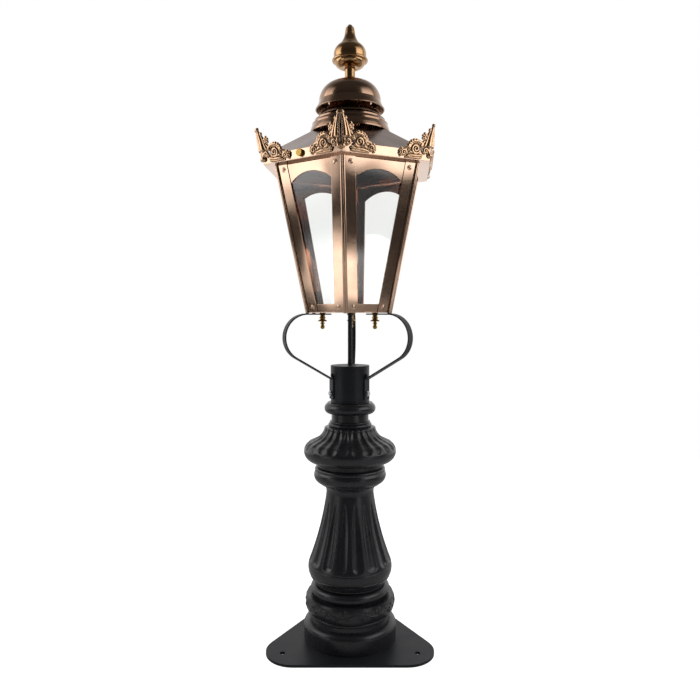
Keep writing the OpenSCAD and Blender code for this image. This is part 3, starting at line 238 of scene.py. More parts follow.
# Powder coat on steel: even black satin with a fine orange peel
powderCoat = paintMaterial("BlackPowderCoat", {
    "deep": "#1e2023", "bright": "#282a2e", "cloudSize": 0.08, "glossy": 0.34, "dull": 0.46,
    "peelSize": 0.0016, "peelDepth": 0.00006, "sandDepth": 0.0002, "gloss": 0.22})
# Paint over sand-cast iron: black satin, the sand's skin softened under it
castPaint = paintMaterial("PaintedCastIron", {
    "deep": "#1e1f21", "bright": "#27282b", "cloudSize": 0.06, "glossy": 0.23, "dull": 0.33,
    "peelSize": 0.0026, "peelDepth": 0.00007, "sandDepth": 0.0007, "gloss": 0.42})
# Moulded lamp holder: dull black thermoplastic
holderPlastic = paintMaterial("BlackLampHolder", {
    "deep": "#141414", "bright": "#202020", "cloudSize": 0.02, "glossy": 0.4, "dull": 0.55,
    "peelSize": 0.0008, "peelDepth": 0.00003, "sandSize": 0.02, "sandDepth": 0.0001, "gloss": 0.5})
# Horticultural-grade float glass: colourless, a breath of dust on it
paneGlass = glassMaterial("ClearFloatGlass", {"tint": "#fdfefd", "clearest": 0.0, "haziest": 0.02})
# Blown lamp glass, lightly frosted inside
lampGlass = glassMaterial("FrostedLampGlass", {
    "tint": "#fbf8f0", "clearest": 0.25, "haziest": 0.4, "frost": 0.3})
print("materials made")

# Each node takes the finish of the longest of these stems that its name begins with
finishes = {
    copperSheet: "floor_plate corner_post glazing_frame glazing_screws top_frame roof_fascia roof_crossbar "
                 "spacer_tube vent_bridge",
    shadedCopperRoof: "roof_panels",
    copperSpun: "vent_collar chimney_skirt vent_dome",
    copperTurned: "finial",
    copperCast: "crest",
    brass: "floor_studs finial_nuts thumb_screw screw_boss hinge_",
    stainless: "foot_bolts conduit_nuts hinge_pin tie_bolt",
    powderCoat: "base_plate post_tube post_sleeve sleeve_cap strap conduit_tube set_screws",
    castPaint: "base_casting shaft_casting capital_casting",
    holderPlastic: "lamp_holder",
    lampGlass: "lamp_bulb",
    paneGlass: "glass_pane",
}
finishOf = {stem: finish for finish, stems in finishes.items() for stem in stems.split()}
for name, shown in nodes.items():
    stem = max((k for k in finishOf if name.startswith(k)), key=len)
    shown.data.materials.clear()
    shown.data.materials.append(finishOf[stem])
print("frame dressed")


# Studio: white behind the lantern, a dark room behind the camera, softboxes high and low on both sides

studio = {
    "cameraPlace": (0, -1.489, 0.7544), "cameraTilt": 3.094, "lens": 33.43, "sensor": 36.0,
    "boxAway": 1.9, "sideFade": 0.14,
    "topPlace": (0, 0.3, 3.2), "topAim": (0, 0.3, 0), "topSize": 1.6, "topFade": 0.4, "topPower": 7.0,
    "backSpan": {"From Min": -0.05, "From Max": 0.5},
    "frontSpan": {"From Min": 0.15, "From Max": 0.95, "To Min": 0.045, "To Max": 0.08},
    "wallSpan": {"From Min": 0.4, "From Max": 0.8, "To Min": 1.0, "To Max": 0.35},
    "floorRadius": 2.6, "floorSides": 96, "floorTone": 0.85, "floorLift": 0.85,
}
# Name, turn from the camera's side, half its angle, lower and upper edge, brightness, fade below and above
softboxes = [
    ("leftHigh", -88, 23, 0.70, 3.70, 2.2, 0.20, 2.2),
    ("rightHigh", 70, 27, 0.77, 3.70, 2.2, 0.10, 2.2),
    ("leftLow", -61, 14, 0.18, 0.64, 1.9, 0.14, 0.14),
    ("rightLow", 42, 11, 0.16, 0.48, 2.1, 0.09, 0.09),
]


# A lamp whose face fades out towards its edges, as cloth over a box does
def addSoftbox(name, place, aim, across, tall, bright, fadeSide, fadeLow, fadeHigh):
    lamp = bpy.data.lights.new(name, "AREA")
    lamp.shape = "RECTANGLE"
    lamp.size, lamp.size_y = across, tall
    lamp.energy = bright * math.pi * across * tall
    lamp.use_nodes = True
    tree = lamp.node_tree
    tree.nodes.clear()
    spot = addNode(tree, "ShaderNodeSeparateXYZ",
                   links={0: addNode(tree, "ShaderNodeNewGeometry").outputs["Parametric"]})
    fades = []
    for side, start, end in (("X", 0, fadeSide / across), ("X", 1, 1 - fadeSide / across),
                             ("Y", 0, fadeLow / tall), ("Y", 1, 1 - fadeHigh / tall)):
        fade = addNode(tree, "ShaderNodeMapRange", {"interpolation_type": "SMOOTHSTEP"},
                       {"From Min": start, "From Max": end}, {"Value": spot.outputs[side]})
        fades.append(fade.outputs[0])
    light = fades[0]
    for fade in fades[1:]:
        both = addNode(tree, "ShaderNodeMath", {"operation": "MULTIPLY"}, links={0: light, 1: fade})
        light = both.outputs[0]
    cloth = addNode(tree, "ShaderNodeEmission", links={"Strength": light})
    addNode(tree, "ShaderNodeOutputLight", links={0: cloth.outputs[0]})
    holder = bpy.data.objects.new(name, lamp)
    holder.location = place
    holder.rotation_euler = (Vector(aim) - Vector(place)).to_track_quat("-Z", "Y").to_euler()
    bpy.context.scene.collection.objects.link(holder)
    return holder


def setCamera(s):
    scene = bpy.context.scene
    camera = bpy.data.objects.new("camera", bpy.data.cameras.new("camera"))
    camera.data.sensor_width = s["sensor"]
    camera.data.lens = s["lens"]
    camera.location = s["cameraPlace"]
    camera.rotation_euler = (math.radians(90 - s["cameraTilt"]), 0, 0)
    scene.collection.objects.link(camera)
    scene.camera = camera
    scene.view_settings.view_transform = "Standard"


# The overhead lamp lights the floor and the black castings, and the copper doesn't mirror it
def setLamps(s, boxes):
    for name, turn, half, low, high, bright, fadeLow, fadeHigh in boxes:
        across = 2 * s["boxAway"] * math.tan(math.radians(half))
        angle = math.radians(turn)
        middle = (low + high) / 2
        place = (s["boxAway"] * math.sin(angle), -s["boxAway"] * math.cos(angle), middle)
        addSoftbox(name, place, (0, 0, middle), across, high - low, bright,
                   s["sideFade"], fadeLow, fadeHigh)
    size, fade = s["topSize"], s["topFade"]
    overhead = addSoftbox("overhead", s["topPlace"], s["topAim"], size, size,
                          s["topPower"] / (math.pi * size ** 2), fade, fade, fade)
    overhead.visible_glossy = False


# One for rays that come from the camera, straight or through glass
def seenRays(tree):
    path = addNode(tree, "ShaderNodeLightPath").outputs
    either = addNode(tree, "ShaderNodeMath", {"operation": "MAXIMUM"},
                     links={0: path["Is Camera Ray"], 1: path["Is Transmission Ray"]})
    return either.outputs[0]


# What the metal mirrors: a white wall behind the lantern that darkens upwards, and a dark room before it
def setRoom(s):
    world = bpy.data.worlds.new("studioRoom")
    world.use_nodes = True
    tree = world.node_tree
    tree.nodes.clear()
    way = addNode(tree, "ShaderNodeSeparateXYZ",
                  links={0: addNode(tree, "ShaderNodeTexCoord").outputs["Generated"]}).outputs
    spans = {}
    for span, side in (("backSpan", "Y"), ("frontSpan", "Z"), ("wallSpan", "Z")):
        made = addNode(tree, "ShaderNodeMapRange", {"interpolation_type": "SMOOTHSTEP"}, s[span],
                       {"Value": way[side]})
        spans[span] = made.outputs[0]
    room = addNode(tree, "ShaderNodeMix", {"data_type": "FLOAT"},
                   links={"Factor": spans["backSpan"], "A": spans["frontSpan"], "B": spans["wallSpan"]})
    level = addNode(tree, "ShaderNodeMix", {"data_type": "FLOAT"}, {"B": 1.0},
                    {"Factor": seenRays(tree), "A": room.outputs[0]})
    sky = addNode(tree, "ShaderNodeBackground", values={"Color": (1, 1, 1, 1)},
                  links={"Strength": level.outputs[0]})
    addNode(tree, "ShaderNodeOutputWorld", links={"Surface": sky.outputs[0]})
    bpy.context.scene.world = world


# Matt white floor; seen rays get it lifted to the white of the background, and it keeps the shadow
def setFloor(s):
    bm = bmesh.new()
    bmesh.ops.create_circle(bm, cap_ends=True, radius=s["floorRadius"], segments=s["floorSides"])
    disc = bpy.data.meshes.new("floor")
    bm.to_mesh(disc)
    bm.free()
    floor = bpy.data.objects.new("floor", disc)
    bpy.context.scene.collection.objects.link(floor)
    paper = newMaterial("WhitePaperFloor")
    tree = paper.node_tree
    matt = addNode(tree, "ShaderNodeBsdfDiffuse", values={"Color": (s["floorTone"],) * 3 + (1,)})
    lift = addNode(tree, "ShaderNodeMath", {"operation": "MULTIPLY"}, {1: s["floorLift"]},
                   {0: seenRays(tree)})
    glow = addNode(tree, "ShaderNodeEmission", links={"Strength": lift.outputs[0]})
    both = addNode(tree, "ShaderNodeAddShader", links={0: matt.outputs[0], 1: glow.outputs[0]})
    addNode(tree, "ShaderNodeOutputMaterial", links={"Surface": both.outputs[0]})
    disc.materials.append(paper)


setCamera(studio)
setLamps(studio, softboxes)
setRoom(studio)
setFloor(studio)
print("studio set")


# Carved relief: strokes with a round back, laid over one another; each row is x, y, half width, lift

# Roundness of a stroke's back, 1 for a full half circle; least slope of an outline; a distance past all of it
strokeRound = 0.95
leastSlope = 0.5
farAway = 99.0


def spiral(at, radii, angles, widths, lifts=(0.0, 0.0), steps=40):
    t = np.linspace(0, 1, steps)
    turn = np.radians(angles[0] + (angles[1] - angles[0]) * t)
    reach = radii[0] + (radii[1] - radii[0]) * t
    return np.column_stack([at[0] + reach * np.cos(turn), at[1] + reach * np.sin(turn),
                            np.interp(t, [0, 1], widths), np.interp(t, [0, 1], lifts)])


# A smooth line through the given points
def vein(points, widths, lifts, steps=24):
    points = np.array(points, float)
    last = len(points) - 1
    rows = []
    for s in np.linspace(0, last, steps):
        i = min(int(s), last - 1)
        u = s - i
        a, b, c, d = (points[max(i - 1, 0)], points[i], points[i + 1], points[min(i + 2, last)])
        rows.append(0.5 * (2 * b + (c - a) * u + (2 * a - 5 * b + 4 * c - d) * u ** 2
                           + (3 * b - a - 3 * c + d) * u ** 3))
    t = np.linspace(0, 1, steps)
    return np.column_stack([np.array(rows), np.interp(t, np.linspace(0, 1, len(widths)), widths),
                            np.interp(t, np.linspace(0, 1, len(lifts)), lifts)])


fanStops = (0, 0.5, 1)


# Leaf tips that spread from one spot
def fan(at, radii, angles, bend, widths, lifts, steps=10):
    strokes = []
    for angle in angles:
        points = []
        for t in fanStops:
            turn = math.radians(angle + bend * t)
            reach = radii[0] + (radii[1] - radii[0]) * t
            points.append((at[0] + reach * math.cos(turn), at[1] + reach * math.sin(turn)))
        strokes.append(vein(points, widths, lifts, steps))
    return strokes


# Height of the carving and distance from its outline, over a grid of points
def carve(strokes, x, y):
    height = np.zeros(x.shape)
    outside = np.full(x.shape, farAway)
    for stroke in strokes:
        for a, b in zip(stroke[:-1], stroke[1:]):
            run = b[:2] - a[:2]
            t = np.clip(((x - a[0]) * run[0] + (y - a[1]) * run[1]) / (run @ run + 1e-12), 0, 1)
            away = np.hypot(x - a[0] - t * run[0], y - a[1] - t * run[1])
            wide = a[2] + (b[2] - a[2]) * t
            top = a[3] + (b[3] - a[3]) * t + strokeRound * np.sqrt(np.maximum(wide ** 2 - away ** 2, 0))
            outside = np.minimum(outside, away - wide)
            height = np.where(away < wide, np.maximum(height, top), height)
    return height, outside


# Draws points that lie over the edge of the carving back towards it
def drawIn(x, y, over, slopeX, slopeY):
    steep = np.maximum(np.hypot(slopeX, slopeY), leastSlope) ** 2
    return x - over * slopeX / steep, y - over * slopeY / steep


# Fills one cell wherever two kept cells meet only at a corner, so that the edges stay clean
def fillCorners(keep, passes=3):
    for _ in range(passes):
        beside = np.roll(keep, -1, axis=1)
        falling = keep[:-1] & beside[1:] & ~beside[:-1] & ~keep[1:]
        rising = beside[:-1] & keep[1:] & ~keep[:-1] & ~beside[1:]
        keep[1:] |= falling
        keep[:-1] |= rising
    return keep


# Closes a sheet with walls along its edge and a flat back
def closedShell(points, faces, backZ):
    count = len(points)
    back = points.copy()
    back[:, 2] = backZ
    edge = {}
    for a, b in np.vstack([faces[:, [0, 1]], faces[:, [1, 2]], faces[:, [2, 3]], faces[:, [3, 0]]]):
        if (b, a) in edge:
            del edge[(b, a)]
        else:
            edge[(a, b)] = True
    walls = [(b, a, a + count, b + count) for a, b in edge]
    rear = [tuple(f[::-1] + count) for f in faces]
    return np.vstack([points, back]), [tuple(f) for f in faces] + rear + walls


def meshObject(name, points, faces, material):
    data = bpy.data.meshes.new(name)
    data.from_pydata([tuple(p) for p in points], [], faces)
    data.update()
    data.shade_smooth()
    data.materials.append(material)
    made = bpy.data.objects.new(name, data)
    bpy.context.scene.collection.objects.link(made)
    return made


def turnOutward(data):
    bm = bmesh.new()
    bm.from_mesh(data)
    bmesh.ops.recalc_face_normals(bm, faces=bm.faces)
    bm.to_mesh(data)
    bm.free()


# Corner crests: acanthus scrolls in two wings, mitred at the corner

crest = {
    "scale": 79 / 80, "pitch": 0.55, "along": (-16, 84), "up": (-2, 84), "rim": 1.3, "plate": 1.4,
    "boldness": 0.66, "leans": (11, 5, 11, 11, 11, 11), "yaw": -5,
    "eaveRadius": 203 + 0.3 / flatShare, "eaveZ": 1074.7, "clearBelow": 0.4,
    "cutWithin": 1e-4, "mirrorWithin": 0.005, "joinWithin": 0.03,
}


# Strokes of one wing in mm, x along the eave from the corner and y up: spire, tendrils, scrolls, leaves
def crestStrokes():
    strokes = [
        vein([(-3.5, 69), (-1, 60), (2, 49), (4.2, 38), (5.4, 30)],
             [1.6, 2.5, 3.4, 4.6, 5.4], [1.4, 2.2, 2.4, 2.4, 2]),
        vein([(2.6, 60), (7, 52), (10, 43), (13, 35), (15.5, 29)],
             [1.2, 1.9, 2.4, 3.1, 3.3], [0.8, 1.4, 1.6, 1.6, 1.2]),
        vein([(11, 41), (17, 37), (21, 32), (22.5, 27)], [1, 1.9, 2.5, 2.2], [0.6, 1, 1, 0.6]),
        spiral((-4.5, 71.5), (0, 0.01), (0, 1), (3.1, 3.1), (2, 2), 2),
        spiral((3.4, 61.5), (1.6, 1.6), (0, 360), (1.4, 1.4), (1.4, 1.4), 20),
        spiral((12.5, 46), (5.2, 1.1), (-160, 330), (2, 1.4), (0.8, 2.2)),
        spiral((13, 18), (6.2, 1.3), (170, -250), (2.2, 1.5), (1, 2)),
        spiral((2.5, 10), (0, 0.01), (0, 1), (4.4, 4.4), (1.6, 1.6), 2),
        vein([(4, 27), (4.6, 20), (5, 14)], [2.6, 2.2, 1.8], [1, 0.8, 0.6]),
        vein([(17, 26), (23, 33), (32, 36.5), (43, 35), (52, 28)],
             [1.5, 2.1, 2.2, 2, 1.3], [1.2, 1.6, 1.7, 1.5, 1]),
        spiral((37.5, 20.5), (10, 1.7), (-150, 440), (2.8, 1.7), (1.4, 2.8), 110),
        vein([(45, 30), (51, 25.5), (57, 22), (63, 20.5)], [1.6, 2, 1.9, 1.3], [1.2, 1.3, 1.1, 0.7]),
        vein([(49, 25), (52.5, 21), (55.5, 16.5)], [1.6, 1.8, 1.5], [1.2, 1.3, 1.1]),
        vein([(22, 9), (33, 6.5), (46, 6.5), (57, 4.6)], [1.8, 2.4, 2.5, 2], [0.6, 1, 1.2, 0.8]),
        vein([(23, 4.5), (36, 2.8), (52, 2.6), (60, 2.4)], [1.3, 1.4, 1.4, 1.1], [0.5, 0.6, 0.6, 0.4]),
        vein([(44, 11.5), (50, 13), (55, 10)], [1.2, 2.4, 2], [1, 1.6, 1.4]),
        spiral((65.5, 10.5), (6.8, 1.3), (190, -260), (2.2, 1.5), (1, 2.2), 60),
    ]
    strokes += fan((12.5, 46), (5.4, 8.2), (75, 35, -5), -12, (1.6, 2), (0.5, 0.9))
    strokes += fan((37.5, 20.5), (12, 17.4), (158, 134, 112, 91, 71, 52, 34), -14, (1.8, 2.6), (0.3, 0.9))
    strokes += fan((65.5, 10.5), (6.8, 8.6), (66, 34, 2, -30), -8, (1.6, 2), (0.4, 0.8))
    return strokes


def wingSheet(c):
    x, y = np.meshgrid(np.arange(*c["along"], c["pitch"]), np.arange(*c["up"], c["pitch"]))
    height, outside = carve(crestStrokes(), x, y)
    slopeY, slopeX = np.gradient(outside, c["pitch"])
    x, y = drawIn(x, y, np.maximum(outside - c["rim"], 0), slopeX, slopeY)
    z = c["plate"] + c["boldness"] * height
    inside = outside < c["rim"]
    keep = fillCorners(inside[:-1, :-1] | inside[1:, :-1] | inside[:-1, 1:] | inside[1:, 1:])
    index = -np.ones(x.shape, int)
    corners = np.zeros(x.shape, bool)
    for dy in (0, 1):
        for dx in (0, 1):
            corners[dy:dy + keep.shape[0], dx:dx + keep.shape[1]] |= keep
    index[corners] = np.arange(corners.sum())
    rows, columns = np.nonzero(keep)
    faces = np.column_stack([index[rows, columns], index[rows, columns + 1],
                             index[rows + 1, columns + 1], index[rows + 1, columns]])
    return np.column_stack([x[corners], y[corners], z[corners]]), faces


# One crest in mm at the corner that points along x: a wing turned and leaned, cut at the mitre, mirrored
def crestTemplate(c, lean):
    points, faces = closedShell(*wingSheet(c), 0.0)
    points = points[:, [2, 0, 1]] * c["scale"]
    wing = bpy.data.meshes.new("wing")
    wing.from_pydata([tuple(p) for p in points], [], [tuple(int(v) for v in f) for f in faces])
    turn = Matrix.Rotation(math.radians(sideTurn / 2), 4, "Z")
    wing.transform(turn @ Matrix.Rotation(math.radians(lean), 4, "Y"))
    bm = bmesh.new()
    bm.from_mesh(wing)
    for spot, way in (((0, 0, 0), (0, 1, 0)), ((0, 0, c["clearBelow"]), (0, 0, 1))):
        geometry = bm.verts[:] + bm.edges[:] + bm.faces[:]
        bmesh.ops.bisect_plane(bm, geom=geometry, dist=c["cutWithin"], plane_co=spot, plane_no=way,
                               clear_inner=True)
    geometry = bm.verts[:] + bm.edges[:] + bm.faces[:]
    bmesh.ops.mirror(bm, geom=geometry, axis="Y", merge_dist=c["mirrorWithin"])
    bmesh.ops.remove_doubles(bm, verts=bm.verts, dist=c["joinWithin"])
    bmesh.ops.holes_fill(bm, edges=[e for e in bm.edges if e.is_boundary], sides=0)
    bmesh.ops.recalc_face_normals(bm, faces=bm.faces)
    whole = bpy.data.meshes.new("crest")
    bm.to_mesh(whole)
    bm.free()
    whole.shade_smooth()
    return whole


def makeCrests(c):
    templates = {lean: crestTemplate(c, lean) for lean in sorted(set(c["leans"]))}
    for i, lean in enumerate(c["leans"]):
        data = templates[lean].copy()
        out = Matrix.Translation((c["eaveRadius"], 0, c["eaveZ"]))
        turn = Matrix.Rotation(math.radians(-90 + c["yaw"] + sideTurn * i), 4, "Z")
        data.transform(Matrix.Scale(mm, 4) @ turn @ out)
        data.materials.append(copperCast)
        made = bpy.data.objects.new(f"carvedCrest{i + 1}", data)
        bpy.context.scene.collection.objects.link(made)
        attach(made, "roof")
        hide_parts(f"crest_{i + 1}")
    print("crests carved:", len(data.polygons), "faces each")


makeCrests(crest)


# Vine band cast round the belly of the base

vineBand = {
    "repeats": 8, "pitch": 0.72, "low": 77, "high": 111, "rim": 0.35, "sunk": -0.6, "proud": 0.04,
    "boldness": 0.75, "bellyReach": 57.2, "bellyRound": 46, "bellyZ": 92, "measuredAt": 103.2, "sway": 4.6,
}
# Leaves beside each bend of the vine: place from the bend, reach, middle angle, spread, sweep, widths, lifts
vineLeaves = [
    ((-9, 3.4), (1, 6.6), 90, (-58, -24, 12, 46), 12, (1.5, 0.7), (0.7, 0.2)),
    ((14.5, 1.5), (0.5, 6.2), 70, (-50, -8, 34), -14, (1.5, 0.7), (0.7, 0.2)),
    ((9, -9.0), (0.5, 5.0), -20, (-46, -6, 34), 10, (1.3, 0.6), (0.6, 0.2)),
]


# One repeat: a waving stem, and at each bend a curl with its bud and three leaves
def vineStrokes(v, unit):
    middle = (v["low"] + v["high"]) / 2
    places = np.linspace(-0.1, 1.1, 13) * unit
    wave = [(x, middle + v["sway"] * math.sin(2 * math.pi * x / unit)) for x in places]
    strokes = [vein(wave, [1.15, 1.15], [0.5, 0.5], 72)]
    for share, way in ((0.25, 1), (0.75, -1)):
        bend = share * unit
        curl = (bend + 2, middle - 4.0 * way)
        strokes.append(spiral(curl, (7.4, 1.4), (75 * way, -300 * way), (0.95, 1.25), (0.3, 0.8)))
        strokes.append(spiral(curl, (0, 0.01), (0, 1), (1.9, 1.9), (0.8, 0.8), 2))
        for (along, up), reach, angle, spread, sweep, widths, lifts in vineLeaves:
            angles = [angle * way + turn for turn in spread]
            strokes += fan((bend + along, middle + up * way), reach, angles, sweep * way, widths, lifts)
    return strokes


def makeVineBand(v):
    around = 2 * math.pi * v["measuredAt"]
    unit = around / v["repeats"]
    columns = int(unit / v["pitch"])
    step = unit / columns
    ys = np.arange(v["low"], v["high"], v["pitch"])
    x, y = np.meshgrid(np.arange(columns) * step, ys)
    shifted = [stroke + [shift, 0, 0, 0] for stroke in vineStrokes(v, unit) for shift in (-unit, 0, unit)]
    height, outside = carve(shifted, x, y)
    height, outside = (np.tile(a, (1, v["repeats"])) for a in (height, outside))
    total = columns * v["repeats"]
    x, y = np.meshgrid(np.arange(total) * step, ys)
    padded = np.pad(outside, ((0, 0), (1, 1)), "wrap")
    slopeY, slopeX = np.gradient(padded, ys[1] - ys[0], step)
    slopeX, slopeY = slopeX[:, 1:-1], slopeY[:, 1:-1]
    x, y = drawIn(x, y, np.clip(outside - v["rim"], 0, v["pitch"]), slopeX, slopeY)
    inside = outside < v["rim"]
    beside = np.roll(inside, -1, axis=1)
    keep = fillCorners(inside[:-1] | inside[1:] | beside[:-1] | beside[1:])
    rows, places = np.nonzero(keep)
    beyond = (places + 1) % total
    corner = np.column_stack([rows * total + places, rows * total + beyond, (rows + 1) * total + beyond,
                              (rows + 1) * total + places])
    used, faces = np.unique(corner, return_inverse=True)
    lift = v["proud"] + v["boldness"] * height
    sheet = np.column_stack([a.ravel()[used] for a in (x, y, lift)])
    points, faces = closedShell(sheet, faces.reshape(corner.shape), v["sunk"])
    turn = points[:, 0] / v["measuredAt"]
    bulge = np.sqrt(v["bellyRound"] ** 2 - (points[:, 1] - v["bellyZ"]) ** 2)
    reach = v["bellyReach"] + bulge + points[:, 2]
    placed = np.column_stack([reach * np.cos(turn), reach * np.sin(turn), points[:, 1]]) * mm
    made = meshObject("vineBand", placed, [tuple(int(i) for i in f) for f in faces], castPaint)
    turnOutward(made.data)
    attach(made, "post")
    print("vine band carved:", len(faces), "faces")


makeVineBand(vineBand)


# Fluted castings: turned on the outline of the solid, the flutes cut by a tree

fluting = {
    "shaft_casting": {
        "name": "flutedShaft", "Flutes": 16, "Low": 0.186, "High": 0.330, "Depth": 0.0038,
        "Half Width": 0.35, "Foot": 0.010, "Head": 0.060, "perFlute": 14},
    "capital_casting": {
        "name": "flutedCapital", "Flutes": 24, "Low": 0.4485, "High": 0.500, "Depth": 0.0036,
        "Half Width": 0.39, "Foot": 0.009, "Head": 0.022, "perFlute": 10},
}
flutingStep = 0.0007
flutingSharp = 50
leastWidth = 0.001
# How deep a flute is at a point, by sums in turn: a name, what is done, and sides that are numbers or names
fluteSums = [
    ("turn", "ARCTAN2", "Y", "X"),
    ("share", "DIVIDE", "turn", 2 * math.pi),
    ("counted", "MULTIPLY", "share", "Flutes"),
    ("shifted", "ADD", "counted", 0.5),
    ("away", "PINGPONG", "shifted", 0.5),
    ("risen", "SUBTRACT", "Z", "Low"),
    ("footShare", "DIVIDE", "risen", "Foot"),
    ("footFrom", "MAXIMUM", "footShare", 0.0),
    ("footTo", "MINIMUM", "footFrom", 1.0),
    ("short", "SUBTRACT", 1.0, "footTo"),
    ("shortSquare", "MULTIPLY", "short", "short"),
    ("footSquare", "SUBTRACT", 1.0, "shortSquare"),
    ("foot", "SQRT", "footSquare"),
    ("left", "SUBTRACT", "High", "Z"),
    ("headShare", "DIVIDE", "left", "Head"),
    ("headFrom", "MAXIMUM", "headShare", 0.0),
    ("headTo", "MINIMUM", "headFrom", 1.0),
    ("head", "SQRT", "headTo"),
    ("ends", "MULTIPLY", "foot", "head"),
    ("narrowed", "MULTIPLY", "Half Width", "ends"),
    ("wide", "MAXIMUM", "narrowed", leastWidth),
    ("across", "DIVIDE", "away", "wide"),
    ("acrossSquare", "MULTIPLY", "across", "across"),
    ("hollowed", "SUBTRACT", 1.0, "acrossSquare"),
    ("hollow", "MAXIMUM", "hollowed", 0.0),
    ("ended", "MULTIPLY", "hollow", "ends"),
    ("deep", "MULTIPLY", "ended", "Depth"),
    ("marked", "MULTIPLY", "deep", "outer"),
    ("inward", "MULTIPLY", "marked", -1.0),
]
# Rays that feel for the outline: their turns, where they start, and how far they keep from the solid's ends
rayTurns = np.radians(np.arange(0, 45, 2.5))
rayStart = 0.4
rayInset = 2e-5


# Largest radius of a solid at each height, found by rays from outside
def outlineOf(shown, levels):
    tree = BVHTree.FromObject(shown, bpy.context.evaluated_depsgraph_get())
    place = shown.matrix_world
    back = place.inverted()
    reach = []
    for z in levels:
        hits = []
        for turn in rayTurns:
            way = Vector((math.cos(turn), math.sin(turn), 0))
            hit = tree.ray_cast(back @ (way * rayStart + Vector((0, 0, z))), back.to_3x3() @ -way)[0]
            if hit is not None:
                found = place @ hit
                hits.append(math.hypot(found.x, found.y))
        reach.append(max(hits) if hits else reach[-1])
    return np.array(reach)


def newTree(name, sockets):
    tree = bpy.data.node_groups.new(name, "GeometryNodeTree")
    for socket, kind in [("Geometry", "NodeSocketGeometry")] + sockets:
        tree.interface.new_socket(socket, in_out="INPUT", socket_type=kind)
    tree.interface.new_socket("Geometry", in_out="OUTPUT", socket_type="NodeSocketGeometry")
    return tree


# Ends a tree: real geometry, with the finish on it
def closeTree(tree, geometry, finish):
    real = addNode(tree, "GeometryNodeRealizeInstances", links={0: geometry})
    dressed = addNode(tree, "GeometryNodeSetMaterial",
                      links={"Geometry": real.outputs[0], "Material": finish})
    addNode(tree, "NodeGroupOutput", links={0: dressed.outputs[0]})


def applyTree(made, tree, values):
    grower = made.modifiers.new("grow", "NODES")
    grower.node_group = tree
    for item in tree.interface.items_tree:
        if item.in_out == "INPUT" and item.name in values:
            grower[item.identifier] = values[item.name]
    ready = made.evaluated_get(bpy.context.evaluated_depsgraph_get())
    grown = bpy.data.meshes.new_from_object(ready)
    made.modifiers.remove(grower)
    made.data = grown


# Tree that draws the outside in along each flute: round at the foot, dying out at the head
def fluteTree():
    names = ("Flutes", "Low", "High", "Depth", "Half Width", "Foot", "Head")
    sockets = [(name, "NodeSocketFloat") for name in names] + [("Finish", "NodeSocketMaterial")]
    tree = newTree("cutFlutes", sockets)
    given = addNode(tree, "NodeGroupInput").outputs
    place = addNode(tree, "GeometryNodeInputPosition").outputs[0]
    axis = addNode(tree, "ShaderNodeSeparateXYZ", links={0: place}).outputs
    outer = addNode(tree, "GeometryNodeInputNamedAttribute", {"data_type": "FLOAT"}, {"Name": "outer"})
    known = {**dict(given.items()), **dict(axis.items()), "outer": outer.outputs[0]}
    for name, operation, *both in fluteSums:
        values = {i: side for i, side in enumerate(both) if not isinstance(side, str)}
        links = {i: known[side] for i, side in enumerate(both) if isinstance(side, str)}
        known[name] = addNode(tree, "ShaderNodeMath", {"operation": operation}, values, links).outputs[0]
    shift = addNode(tree, "ShaderNodeVectorMath", {"operation": "SCALE"},
                    links={0: outwardWay(tree, place), "Scale": known["inward"]})
    moved = addNode(tree, "GeometryNodeSetPosition",
                    links={"Geometry": given["Geometry"], "Offset": shift.outputs[0]})
    closeTree(tree, moved.outputs[0], given["Finish"])
    return tree


# The body is turned on the solid's outline and bore, and only its outside is marked for the tree
def makeFluted(nodeName, f, tree):
    shown = nodes[nodeName]
    corners = np.array([shown.matrix_world @ v.co for v in shown.data.vertices])
    low, high = corners[:, 2].min(), corners[:, 2].max()
    bore = np.hypot(corners[:, 0], corners[:, 1]).min()
    rows = int((high - low) / flutingStep)
    levels = np.linspace(low, high, rows)
    reach = outlineOf(shown, np.clip(levels, low + rayInset, high - rayInset))
    steps = int(f["Flutes"] * f["perFlute"])
    turns = np.linspace(0, 2 * math.pi, steps, endpoint=False)
    rings = [(bore, low)] + list(zip(reach, levels)) + [(bore, high)]
    points = [(r * math.cos(a), r * math.sin(a), z) for r, z in rings for a in turns]
    faces = []
    total = len(rings)
    for i in range(total):
        k = (i + 1) % total
        for j in range(steps):
            n = (j + 1) % steps
            faces.append((i * steps + j, i * steps + n, k * steps + n, k * steps + j))
    made = meshObject(f["name"], points, faces, castPaint)
    outer = made.data.attributes.new("outer", "FLOAT", "POINT")
    marks = np.ones(len(points))
    marks[:steps] = marks[-steps:] = 0
    outer.data.foreach_set("value", marks)
    applyTree(made, tree, {**f, "Finish": castPaint})
    made.data.attributes.remove(made.data.attributes["outer"])
    turnOutward(made.data)
    made.data.shade_smooth()
    made.data.set_sharp_from_angle(angle=math.radians(flutingSharp))
    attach(made, "post")
    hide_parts(nodeName)
    print("fluted:", f["name"], len(faces), "faces")


cutFlutes = fluteTree()
for nodeName, f in fluting.items():
    makeFluted(nodeName, f, cutFlutes)


# Glazing screws: slotted round heads, each in the pucker that it pulls in the sheet

glazing = {
    "bottomReach": 105, "topReach": 174.5, "bottomZ": 760.5, "tall": 313, "inset": 18, "fromEnd": 10.5,
    "yaw": -5, "headReach": 3.1, "headTall": 1.5, "shoulder": 0.25, "domeSteps": 7, "underHead": -0.4,
    "latheSteps": 24, "slotHalf": 0.42, "slotDeep": 0.75, "slotAbove": 0.3, "cutWithin": 1e-5, "sharp": 38,
    "puckerReach": 5.6, "puckerProfile": [(0, -0.5), (1, -0.5), (1, 0.03), (0.85, 0.12), (0.72, 0.45),
                                          (0.6, 0.36), (0.5, 0.0), (0, -0.1)],
    "seed": 7,
}


